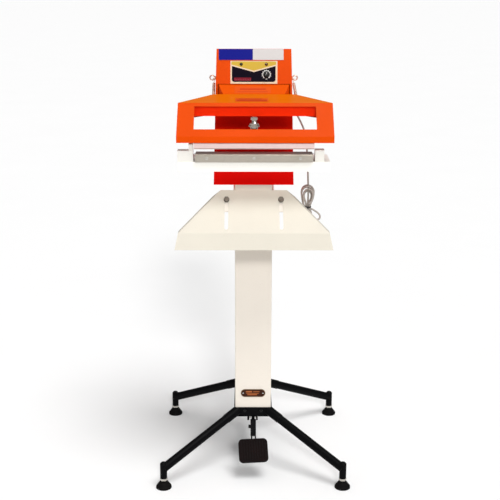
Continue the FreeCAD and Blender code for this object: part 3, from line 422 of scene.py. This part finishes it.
def woven(name):
    """Tan PTFE coated glass cloth: fine square weave and a browner band where the element lies beneath."""
    m, nt, b, tc = new_mat(name)
    waves = []
    for axis in ("X", "Y"):
        w = node(nt, "ShaderNodeTexWave", wave_type="BANDS", bands_direction=axis)
        w.inputs["Scale"].default_value = 260.0
        w.inputs["Distortion"].default_value = 0.6
        w.inputs["Detail"].default_value = 1.0
        nt.links.new(tc.outputs["Object"], w.inputs["Vector"])
        waves.append(w.outputs["Fac"])
    cloth = math_node(nt, "MULTIPLY", waves[0], waves[1])
    tone = noise(nt, tc, 60.0, 5.0, 0.7)
    base = mix(nt, tone.outputs[0], (0.30, 0.235, 0.20), (0.20, 0.15, 0.125))
    base = mix(nt, math_node(nt, "MULTIPLY", cloth, 0.4), base, (0.14, 0.10, 0.08))
    sep = node(nt, "ShaderNodeSeparateXYZ")
    nt.links.new(tc.outputs["Object"], sep.inputs[0])
    d1 = math_node(nt, "ABSOLUTE", math_node(nt, "ADD", sep.outputs[1], 0.2195))
    band = node(nt, "ShaderNodeMapRange")
    band.inputs["From Min"].default_value = 0.0065
    band.inputs["From Max"].default_value = 0.0025
    nt.links.new(d1, band.inputs["Value"])
    brk = noise(nt, tc, 90.0, 4.0, 0.7, (0.3, 1, 1))
    burnt = math_node(nt, "MULTIPLY", band.outputs[0], brk.outputs[0])
    base = mix(nt, math_node(nt, "MULTIPLY", burnt, 0.85), base, (0.12, 0.06, 0.03))
    nt.links.new(base, b.inputs["Base Color"])
    b.inputs["Roughness"].default_value = 0.38
    b.inputs["Sheen Weight"].default_value = 0.1
    bump(nt, b, cloth, 0.35, 0.0003)
    return m


M["ptfe_fabric"] = woven("ptfe_fabric")


def nameplate_material(name):
    """Dark brass with a faint drawn grain."""
    m, nt, b, tc = new_mat(name)
    g = noise(nt, tc, 40.0, 4.0, 0.65, (2, 60, 60))
    base = mix(nt, g.outputs[0], (0.060, 0.022, 0.012), (0.030, 0.010, 0.006))
    nt.links.new(base, b.inputs["Base Color"])
    b.inputs["Metallic"].default_value = 0.85
    b.inputs["Roughness"].default_value = 0.34
    bump(nt, b, g.outputs[0], 0.15, 0.0004)
    return m



M["plate_field"] = nameplate_material("plate_field")

# the CAD nodes keep their shapes and take these finishes
for name, obj in NODES.items():
    want = SLOT[name]
    if name == "housing_shell":
        want = "housing_paint"
    # the housing floor takes the painted shade red
    if name == "housing_floor":
        want = "shade_red_paint"
    if name == "housing_rear_cover":
        want = "housing_paint"
    if name == "frame_screws":
        want = "screw_steel"
    if name == "jaw_stud":
        want = "stud_steel"
    if name == "spring_pegs":
        want = "spring_steel"
    if name == "control_label":
        want = "label_cream"
    if name == "nameplate":
        want = "plate_field"
    if name in ("upper_jaw_bar",):
        want = "upper_alu"
    if name == "tray_plate":
        want = "tray_paint"
    # lower jaw body: painted light, the brighter copy of the cream
    if name == "lower_jaw_body":
        want = "jaw_cream_lit_copy"
    if name == "tray_bracket":
        want = "cream_paint"
    if name == "tray_bolts":
        want = "dark_zinc"
    mats = obj.data.materials
    if not mats:
        mats.append(M[want])
    for i in range(len(mats)):
        mats[i] = M[want]

BEVELS = {
    0.0015: ("press_head", "press_arm", "housing_shell", "tray_plate", "column_shell", "base_frame"),
    0.0008: (
        "lower_jaw_body", "column_rear_cover", "tray_bracket", "pedal_bracket", "pedal_plate", "pedal_lever", "rod_clevis",
        "arm_crossbar", "element_terminals", "pedal_block",
    ),
    0.0004: ("sign_plate_left", "sign_plate_right", "control_label", "nameplate", "clamp_strips", "tray_bolts", "frame_screws",
             "foot_lock_nuts", "jaw_stud", "pull_rod", "pivot_shaft", "spring_pegs", "pedal_pad", "housing_rear_cover", "transformer_core",
             "transformer_coil", "circuit_board", "timer_spindle", "pedal_pivot_pin", "clevis_pin"),
}
for width, names in BEVELS.items():
    for name in names:
        o = NODES[name]
        for p in o.data.polygons:
            pass
        bv = o.modifiers.new("soft_edges", "BEVEL")
        bv.width = width
        bv.segments = 2
        bv.limit_method = "ANGLE"
        bv.angle_limit = math.radians(32)
        bv.use_clamp_overlap = True
        bv.harden_normals = False


# ------------------------------------------------------------------ mesh helpers
def finish_piece(bm, name, mat, body="root", smooth=35.0, bevel=None):
    bmesh.ops.recalc_face_normals(bm, faces=bm.faces)
    me = bpy.data.meshes.new(name)
    bm.to_mesh(me)
    bm.free()
    me.materials.append(M[mat])
    o = link(bpy.data.objects.new(name, me))
    if smooth:
        for p in me.polygons:
            p.use_smooth = True
        me.set_sharp_from_angle(angle=math.radians(smooth))
    if bevel:
        bv = o.modifiers.new("soft_edges", "BEVEL")
        bv.width = bevel
        bv.segments = 2
        bv.limit_method = "ANGLE"
        bv.angle_limit = math.radians(35)
    if body:
        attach(o, body)
    return o


def frame_of(direction, hint=(0, 0, 1)):
    w = Vector(direction).normalized()
    h = Vector(hint)
    if abs(w.dot(h)) > 0.98:
        h = Vector((1, 0, 0))
    u = h.cross(w).normalized()
    return u, w.cross(u).normalized(), w


def lathe(bm, profile, at, direction, seg=32, hint=(0, 0, 1), radial=None):
    """Turn (radius, height) pairs about an axis; closed at both ends when the radius is 0. All in mm."""
    u, v, w = frame_of(direction, hint)
    at = Vector(at)
    rings = []
    for r, h in profile:
        if r <= 1e-6:
            rings.append([bm.verts.new((at + w * h) * MM)])
            continue
        ring = []
        for i in range(seg):
            a = 2 * math.pi * i / seg
            rr = r * (radial(i, h) if radial else 1.0)
            ring.append(bm.verts.new((at + (u * math.cos(a) + v * math.sin(a)) * rr + w * h) * MM))
        rings.append(ring)
    for a, b in zip(rings, rings[1:]):
        if len(a) == 1 and len(b) == 1:
            continue
        for i in range(seg):
            j = (i + 1) % seg
            if len(a) == 1:
                bm.faces.new((a[0], b[i], b[j]))
            elif len(b) == 1:
                bm.faces.new((a[i], a[j], b[0]))
            else:
                bm.faces.new((a[i], a[j], b[j], b[i]))
    return rings


def sweep(bm, points, r, seg=10, closed=False, taper=None):
    """A round bar along points in mm, turned as little as possible from one section to the next."""
    pts = [Vector(p) for p in points]
    n = len(pts)
    tang = []
    for i in range(n):
        a = pts[(i - 1) % n] if (closed or i > 0) else pts[i]
        b = pts[(i + 1) % n] if (closed or i < n - 1) else pts[i]
        tang.append((b - a).normalized())
    ref = tang[0].orthogonal().normalized()
    rings = []
    for i in range(n):
        if i:
            q = tang[i - 1].rotation_difference(tang[i])
            ref = (q @ ref)
            ref = (ref - tang[i] * ref.dot(tang[i])).normalized()
        other = tang[i].cross(ref)
        rr = r * (taper(i / (n - 1)) if taper else 1.0)
        rings.append([bm.verts.new((pts[i] + (ref * math.cos(2 * math.pi * k / seg) + other * math.sin(2 * math.pi * k / seg)) * rr) * MM) for k in range(seg)])
    count = n if closed else n - 1
    for i in range(count):
        a, b = rings[i], rings[(i + 1) % n]
        for k in range(seg):
            j = (k + 1) % seg
            bm.faces.new((a[k], a[j], b[j], b[k]))
    if not closed:
        bm.faces.new(list(reversed(rings[0])))
        bm.faces.new(rings[-1])
    return rings


def prism(bm, corners, thick, origin, ux, uy, un):
    """A flat plate: corners (a, b) on the plane of ux and uy, thick along un. All in mm."""
    o, ux, uy, un = Vector(origin), Vector(ux), Vector(uy), Vector(un)
    low = [bm.verts.new((o + ux * a + uy * b) * MM) for a, b in corners]
    top = [bm.verts.new((o + ux * a + uy * b + un * thick) * MM) for a, b in corners]
    bm.faces.new(list(reversed(low)))
    bm.faces.new(top)
    n = len(corners)
    for i in range(n):
        j = (i + 1) % n
        bm.faces.new((low[i], low[j], top[j], top[i]))


def round_rect(x0, x1, y0, y1, r, seg=6):
    pts = []
    for cx, cy, a0 in ((x1 - r, y1 - r, 0), (x0 + r, y1 - r, 90), (x0 + r, y0 + r, 180), (x1 - r, y0 + r, 270)):
        for i in range(seg + 1):
            a = math.radians(a0 + 90 * i / seg)
            pts.append((cx + r * math.cos(a), cy + r * math.sin(a)))
    return pts


def arc_pts(cx, cy, r, a0, a1, seg=24):
    return [(cx + r * math.cos(math.radians(a0 + (a1 - a0) * i / seg)), cy + r * math.sin(math.radians(a0 + (a1 - a0) * i / seg))) for i in range(seg + 1)]


# ------------------------------------------------------------------ the leaning front panel
LEAN = math.atan2(18.0, 92.5)
FN = Vector((0, -math.cos(LEAN), math.sin(LEAN)))
FU = Vector((0, math.sin(LEAN), math.cos(LEAN)))
FX = Vector((1, 0, 0))
F0 = Vector((0, -108.0, 1129.0))


def face_plate(name, corners, out0, thick, mat, body="root", bevel=None):
    bm = bmesh.new()
    prism(bm, corners, thick, F0 + FN * out0, FX, FU, FN)
    return finish_piece(bm, name, mat, body, smooth=0, bevel=bevel)


# control label: cream border on the backing plate, a black field, a yellow top with a V, a cream line, a scale strip
for i in range(len(NODES["control_label"].data.materials)):
    NODES["control_label"].data.materials[i] = M["label_cream"]


def rounded_poly(corners, radii, seg=5):
    """A polygon with each corner rounded by its own radius."""
    pts, n = [], len(corners)
    for i in range(n):
        p = Vector(corners[i])
        a, b = (Vector(corners[i - 1]) - p).normalized(), (Vector(corners[(i + 1) % n]) - p).normalized()
        r = radii[i]
        if r <= 0:
            pts.append(tuple(p))
            continue
        half = a.angle(b) / 2
        t = r / math.tan(half)
        c = p + (a + b).normalized() * (r / math.sin(half))
        s0, s1 = p + a * t - c, p + b * t - c
        for k in range(seg + 1):
            f = k / seg
            v = (s0 * (1 - f) + s1 * f).normalized() * r
            pts.append(tuple(c + v))
    return pts


field = rounded_poly([(-59.6, 58.8), (-59.6, 5.4), (58.6, 5.4), (58.6, 58.8)], [2, 6.5, 6.5, 2])
face_plate("label_field", field, 1.0, 0.18, "label_black")
yellow = rounded_poly([(-61.2, 60.2), (-61.2, 51.0), (-0.2, 34.6), (60.2, 51.0), (60.2, 60.2)], [3.5, 0, 0, 0, 3.5])
face_plate("label_top", yellow, 1.18, 0.12, "label_yellow")
vee = [(-61.6, 51.8), (-0.2, 35.4), (60.6, 51.8), (60.6, 48.6), (-0.2, 31.8), (-61.6, 48.6)]
face_plate("label_line", vee, 1.30, 0.08, "label_cream")
face_plate("label_scale", rounded_poly([(-54, 17.0), (-54, 9.0), (-7.5, 9.0), (-7.5, 17.0)], [1.2] * 4), 1.18, 0.10, "label_maroon")
bm = bmesh.new()
for k in range(10):
    x = -51.5 + k * 4.6
    tall = 4.4 if k % 3 == 0 else 2.6
    prism(bm, [(x, 10.2), (x + 0.7, 10.2), (x + 0.7, 10.2 + tall), (x, 10.2 + tall)], 0.07, F0 + FN * 1.28, FX, FU, FN)
prism(bm, [(-52.5, 9.7), (-9, 9.7), (-9, 10.3), (-52.5, 10.3)], 0.07, F0 + FN * 1.28, FX, FU, FN)
finish_piece(bm, "label_scale_marks", "label_pink", smooth=0)

# the printed ring round the knob: a white band with notches, open at the bottom
KC = (33.9, 25.2)
bm = bmesh.new()
steps = 66
for k in range(steps):
    a0, a1 = (-58 + 296 * k / steps), (-58 + 296 * (k + 1) / steps)
    ro = 13.0 if (k % 6) in (2, 3) else 11.4
    q = [(KC[0] + r * math.cos(math.radians(a)), KC[1] + r * math.sin(math.radians(a))) for r, a in ((9.3, a0), (ro, a0), (ro, a1), (9.3, a1))]
    prism(bm, q, 0.10, F0 + FN * 1.18, FX, FU, FN)
prism(bm, [(KC[0] - 2.4, KC[1] - 13.2), (KC[0] + 2.4, KC[1] - 13.2), (KC[0] + 2.4, KC[1] - 11.0), (KC[0] - 2.4, KC[1] - 11.0)], 0.10, F0 + FN * 1.18, FX, FU, FN)
bmesh.ops.remove_doubles(bm, verts=bm.verts, dist=1e-7)
finish_piece(bm, "dial_ring", "label_white", smooth=0)

# knob: knurled skirt, domed cap and a white pointer line, standing for the plain CAD knob
bm = bmesh.new()
knob_at = F0 + FN * 0 + FX * KC[0] + FU * KC[1]
def knurl(i, h):
    return 1.0 - (0.055 if (i % 4) in (0, 1) and h > 4.9 and h < 13.0 else 0.0)
lathe(bm, [(3.05, 1.5), (8.3, 1.5), (8.5, 1.8), (8.5, 3.6), (8.1, 4.6), (6.4, 5.0), (6.3, 5.4), (6.1, 12.4), (5.4, 13.6), (4.2, 13.9), (2.2, 13.5), (0, 13.4)],
      knob_at, FN, seg=64, hint=(0, 0, 1), radial=knurl)
knob = finish_piece(bm, "timer_knob_grip", "knob_black", "timer_knob", smooth=40)
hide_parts("timer_knob")
bm = bmesh.new()
prism(bm, [(-0.6, 1.0), (0.6, 1.0), (0.6, 5.0), (-0.6, 5.0)], 0.45, knob_at + FN * 13.55, FX, FU, FN)
prism(bm, [(-0.6, 6.2), (0.6, 6.2), (0.6, 8.2), (-0.6, 8.2)], 0.40, knob_at + FN * 3.9, FX, FU, FN)
finish_piece(bm, "timer_knob_pointer", "label_white", "timer_knob", smooth=0)

# domed lamps in thin collars
for side, x, mat in (("left", -34.4, "lamp_green"), ("right", 33.6, "lamp_amber")):
    bm = bmesh.new()
    at = F0 + FX * x + FU * 52.6
    lathe(bm, [(3.0, 0.2), (3.0, 2.2), (2.7, 3.1), (2.0, 3.8), (1.0, 4.15), (0, 4.25)], at, FN, 24)
    o = finish_piece(bm, "lamp_lens_" + side, mat, smooth=50)
    if side == "left":
        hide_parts("indicator_lamps")
    bm = bmesh.new()
    lathe(bm, [(3.05, 1.1), (4.3, 1.1), (4.3, 1.7), (3.9, 2.0), (3.05, 2.0)], at, FN, 24)
    finish_piece(bm, "lamp_collar_" + side, "label_black", smooth=40)

# two blank stickers on the arm: one on its sloping front, one on its flat top plate
def slab(name, corners, origin, ux, uy, thick, mat, body):
    ux, uy = Vector(ux).normalized(), Vector(uy).normalized()
    un = ux.cross(uy).normalized()
    bm = bmesh.new()
    prism(bm, corners, thick, Vector(origin) + un * 0.04, ux, uy, un)
    return finish_piece(bm, name, mat, body, smooth=0)


slope = Vector((0, 137 - 106, 1127.9 - 1101)) * 1.0
s_out = rounded_poly([(-52, 8), (-52, 33), (46, 33), (46, 8)][::-1], [1.5] * 4)
slab("sticker_arm_front", s_out, (0, -137, 1101), (1, 0, 0), (0, 31, 26.9), 0.25, "sticker_orange", "press_arm")
slab("sticker_arm_front_rule", [(-44, 13), (38, 13), (38, 14.4), (-44, 14.4)], (0, -137, 1101.26), (1, 0, 0), (0, 31, 26.9), 0.1, "sticker_red", "press_arm")
slab("sticker_arm_front_rule2", [(-38, 21), (32, 21), (32, 25), (-38, 25)], (0, -137, 1101.26), (1, 0, 0), (0, 31, 26.9), 0.1, "sticker_red", "press_arm")
slab("sticker_head_top", rounded_poly([(-50, 10), (-50, 42), (38, 42), (38, 10)][::-1], [1.5] * 4), (0, -215, 1091), (1, 0, 0), (0, 78, 13.5), 0.25, "sticker_orange", "press_arm")
slab("sticker_head_top_bar", [(-46, 15), (34, 15), (34, 27), (-46, 27)], (0, -215, 1091.3), (1, 0, 0), (0, 78, 13.5), 0.1, "sticker_red", "press_arm")
slab("sticker_head_top_bar2", [(-40, 31), (20, 31), (20, 37), (-40, 37)], (0, -215, 1091.3), (1, 0, 0), (0, 78, 13.5), 0.1, "sticker_red", "press_arm")

# name plate: raised rim, blank copper rows and two rivets on the CAD plate
NX, NY, NZ = Vector((1, 0, 0)), Vector((0, -1, 0)), Vector((0, 0, 1))
plate_face = Vector((0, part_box("column_shell")[0][1] * 1000 - 1.0, 228))


def stadium(half, r, seg=14):
    return arc_pts(half, 0, r, -90, 90, seg) + arc_pts(-half, 0, r, 90, 270, seg)


bm = bmesh.new()
outer_s, inner_s = stadium(24, 11.9), stadium(24, 10.7)
n = len(outer_s)
vo = [bm.verts.new((plate_face + NX * a + NZ * b) * MM) for a, b in outer_s]
vi = [bm.verts.new((plate_face + NX * a + NZ * b) * MM) for a, b in inner_s]
vo2 = [bm.verts.new((plate_face + NX * a + NZ * b + NY * 0.5) * MM) for a, b in outer_s]
vi2 = [bm.verts.new((plate_face + NX * a + NZ * b + NY * 0.5) * MM) for a, b in inner_s]
for k in range(n):
    j = (k + 1) % n
    bm.faces.new((vo2[k], vo2[j], vi2[j], vi2[k]))
    bm.faces.new((vo[k], vo[j], vo2[j], vo2[k]))
    bm.faces.new((vi[j], vi[k], vi2[k], vi2[j]))
    bm.faces.new((vo[j], vo[k], vi[k], vi[j]))
finish_piece(bm, "nameplate_rim", "name_brass", smooth=40)
bm = bmesh.new()
for x0, x1, z0, z1 in ((-21, -3, 2.2, 6.6), (-20, 17, -1.8, 0.2), (-17, 12, -6.6, -3.4), (1, 19, 3.4, 5.4)):
    prism(bm, [(x0, z0), (x1, z0), (x1, z1), (x0, z1)], 0.22, plate_face, NX, NZ, NY)
finish_piece(bm, "nameplate_rows", "copper_rows", smooth=0)
bm = bmesh.new()
for x in (-29, 29):
    lathe(bm, [(2.3, 0.0), (2.3, 0.9), (1.9, 1.35), (1.0, 1.6), (0, 1.65)], plate_face + NX * x, NY, 20)
finish_piece(bm, "nameplate_rivets", "chrome", smooth=50)


# ------------------------------------------------------------------ return springs
def spring_piece(name, a, b, node_name, n_turns, peg_hook, end_hook):
    a, b = Vector(a), Vector(b)
    u, v, w = frame_of(b - a, (1, 0, 0))
    long = (b - a).length
    coil_r, wire = 3.25, 0.8
    pts = []
    h0, h1 = 2.0, long - 6.0
    steps_ = n_turns * 14
    # the wire hooks over the ring above and runs down to the first turn
    eye, out = Vector(peg_hook[0]), Vector(peg_hook[1]).normalized()
    for k in range(15):
        ang = math.radians(205 - 250 * k / 14)
        pts.append(eye + (out * math.cos(ang) + Vector((0, 1, 0)) * math.sin(ang)) * 2.7)
    top_turn = a + w * h0 + u * coil_r
    hook_end = pts[-1]
    for k in range(1, 6):
        f = k / 6
        pts.append(hook_end * (1 - f) + top_turn * f - Vector((0, 1, 0)) * 0.6 * math.sin(math.pi * f))
    for k in range(steps_ + 1):
        t = 2 * math.pi * k / 14
        pts.append(a + w * (h0 + (h1 - h0) * k / steps_) + (u * math.cos(t) + v * math.sin(t)) * coil_r)
    last = pts[-1]
    for k in range(1, 4):
        f = k / 4
        pts.append(last * (1 - f) + (a + w * (long - 4.0) - v * 0.0) * f)
    for k in range(9):
        f = k / 8
        ang = math.pi * 1.25 * f
        pts.append(a + w * (long - 3.2 + 3.0 * math.sin(ang * 0.5) * 0 + 3.0 * math.sin(ang)) + v * (3.0 * (1 - math.cos(ang))) * 0.5 - v * 0.2)
    bm = bmesh.new()
    sweep(bm, pts, wire, 7)
    o = finish_piece(bm, name, "spring_steel", None, smooth=60)
    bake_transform(o)
    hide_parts(node_name)
    return o


spring_piece("spring_coil_left", (-109.8, -64, 1127), (-109.8, -130.5, 1083), "return_spring_left", 26, ((-110.05, -60, 1136.6), (0.707, 0, -0.707)), None)
spring_piece("spring_coil_right", (109.8, -64, 1127), (116.5, -130.5, 1083), "return_spring_right", 26, ((109.05, -60, 1136.6), (-0.707, 0, -0.707)), None)

# ------------------------------------------------------------------ mains cord pieces
cord.data.materials.append(M["cord_grey"])
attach(cord, "root")
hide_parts("cord_upper", "cord_hank", "cord_tail")

# ribbed strain relief with its collar
ED = Vector((0.447, 0, -0.894)).normalized()
GR = Vector((108.5, -45, 1062))
bm = bmesh.new()
prof = [(3.0, -3.0), (5.6, -2.5), (5.9, 0.0), (5.6, 2.0)]
for k in range(6):
    h = 3.2 + k * 3.6
    r = 5.3 - 0.36 * k
    prof += [(r, h), (r, h + 2.0), (r - 0.8, h + 2.2), (r - 0.85, h + 3.2)]
prof += [(3.3, 25.0), (3.1, 26.0), (2.52, 26.0), (2.52, 20.0)]
lathe(bm, [(0, -3.2)] + prof, GR, ED, 28)
lathe(bm, [(0, -7.5), (5.0, -7.5), (5.0, -2.7), (8.5, -2.7), (8.5, -1.6), (8.2, -0.2), (7.2, 0.3), (0, 0.3)], GR, (1, 0, 0), 32)
gland = finish_piece(bm, "strain_relief", "plug_black", smooth=35)
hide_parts("cord_gland")

# twisted wire tie: a band round the folded hank with its twisted tail
bm = bmesh.new()
band = []
for k in range(48):
    a = 2 * math.pi * k / 48
    ca, sa = math.cos(a), math.sin(a)
    rx, ry, p = 11.0, 9.6, 4.0
    s = (abs(ca) ** p + abs(sa) ** p) ** (-1 / p)
    band.append((153 + rx * s * ca, -40 + ry * s * sa, 773 + 0.9 * math.sin(a * 2)))
sweep(bm, band, 1.0, 8, closed=True)
band2 = [(x, y, z + 2.1 - 0.4 * math.sin(2 * math.pi * i / 48)) for i, (x, y, z) in enumerate(band)]
sweep(bm, band2, 1.0, 8, closed=True)
tail_a = [(153 + 1.1 * math.sin(t * 1.9), -50.4 - 0.15 * t, 773.5 + 1.1 * math.cos(t * 1.9) - 0.55 * t) for t in range(0, 9)]
sweep(bm, tail_a, 0.7, 6)
tie = finish_piece(bm, "wire_tie", "plug_black", smooth=60)
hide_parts("cord_tie")

# plug: round moulded body with a grip waist, boot with ribs, two pins and a face
PZ = 700.0 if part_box("plug")[0][2] * 1000 < 663 else 707.5
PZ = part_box("plug")[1][2] * 1000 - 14
bm = bmesh.new()
prof = [(0, 14.0), (3.4, 14.0), (3.7, 12.6), (4.6, 12.2), (4.9, 10.6), (4.3, 10.2), (5.2, 8.6), (6.1, 8.0), (6.4, 6.2), (5.9, 5.6), (7.4, 3.4), (9.8, 0.0),
        (11.6, -3.6), (13.8, -7.4), (15.0, -9.2), (15.5, -11.0), (15.5, -20.0), (15.1, -21.6), (14.4, -21.9), (0, -21.9)]


def grip(i, h):
    return 1.0 - (0.05 if (i % 5 == 0) and -20.5 < h < -9.5 else 0.0)


lathe(bm, prof, (147, -39, PZ), (0, 0, 1), 60, hint=(0, 1, 0), radial=grip)
plug = finish_piece(bm, "plug_body", "plug_black", smooth=38)
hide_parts("plug")
bm = bmesh.new()
for x, y, r in ((141, -39, 2.4), (153, -39, 2.4)):
    lathe(bm, [(0, -21.5), (r, -21.5), (r, -38.6), (r * 0.75, -40.2), (0, -40.5)], (x, y, PZ), (0, 0, 1), 20)
pins = finish_piece(bm, "plug_pins", "chrome", smooth=40)

# ------------------------------------------------------------------ light, floor, look
w = bpy.data.worlds.new("studio")
SC.world = w
w.use_nodes = True
wn = w.node_tree
wn.nodes.clear()
wo = wn.nodes.new("ShaderNodeOutputWorld")
bg = wn.nodes.new("ShaderNodeBackground")
wn.links.new(bg.outputs[0], wo.inputs[0])
wtc = wn.nodes.new("ShaderNodeTexCoord")
wsep = wn.nodes.new("ShaderNodeSeparateXYZ")
wn.links.new(wtc.outputs["Generated"], wsep.inputs[0])
wr = wn.nodes.new("ShaderNodeValToRGB")
e = wr.color_ramp.elements
e[0].position, e[0].color = 0.30, (0.38, 0.38, 0.38, 1)
e[1].position, e[1].color = 0.62, (1.25, 1.25, 1.25, 1)
wn.links.new(wsep.outputs[2], wr.inputs[0])
wn.links.new(wr.outputs[0], bg.inputs[0])
bg.inputs[1].default_value = 0.36


def area(name, at, to, size, watts, colour=(1, 1, 1)):
    ld = bpy.data.lights.new(name, "AREA")
    ld.shape = "RECTANGLE"
    ld.size, ld.size_y = size
    ld.energy = watts
    ld.color = colour
    o = link(bpy.data.objects.new(name, ld))
    o.location = at
    o.rotation_euler = (Vector(to) - Vector(at)).to_track_quat("-Z", "Y").to_euler()
    return o


sun_d = bpy.data.lights.new("key_sun", "SUN")
sun_d.energy = 1.75
sun_d.angle = math.radians(28)
sun = link(bpy.data.objects.new("key_sun", sun_d))
sun.rotation_euler = Vector((-0.28, 0.40, -1.0)).to_track_quat("-Z", "Y").to_euler()
front_d = bpy.data.lights.new("front_sun", "SUN")
front_d.energy = 1.25
front_d.angle = math.radians(9)
front = link(bpy.data.objects.new("front_sun", front_d))
front.rotation_euler = Vector((-0.12, 0.89, -0.45)).to_track_quat("-Z", "Y").to_euler()
area("soft_left", (-2.2, -1.8, 1.9), (0, 0, 0.9), (1.2, 1.8), 2)
area("soft_right", (2.4, -1.6, 1.5), (0, 0, 0.9), (1.0, 1.6), 1)

bm = bmesh.new()
N = 96
outer, inner, mid = [], [], bm.verts.new((0, 0, 0))
rr = [1.0, 4.0, 16.0, 90.0]
prev = None
for r in rr:
    ring = [bm.verts.new((r * math.cos(2 * math.pi * k / N), r * math.sin(2 * math.pi * k / N), 0)) for k in range(N)]
    for k in range(N):
        j = (k + 1) % N
        if prev is None:
            bm.faces.new((mid, ring[k], ring[j]))
        else:
            bm.faces.new((prev[k], ring[k], ring[j], prev[j]))
    prev = ring
me = bpy.data.meshes.new("floor")
bm.to_mesh(me)
bm.free()
floor = link(bpy.data.objects.new("floor", me))
fm, fnt, fb, ftc = new_mat("floor_paper")
fn_ = noise(fnt, ftc, 2.0, 4.0, 0.6)
fnt.links.new(mix(fnt, fn_.outputs[0], (0.97, 0.97, 0.97), (0.94, 0.94, 0.94)), fb.inputs["Base Color"])
fb.inputs["Roughness"].default_value = 0.85
fb.inputs["Specular IOR Level"].default_value = 0.2
me.materials.append(fm)

SC.view_settings.view_transform = "Standard"
SC.view_settings.look = "None"
SC.view_settings.exposure = 0.0
SC.view_settings.gamma = 1.0
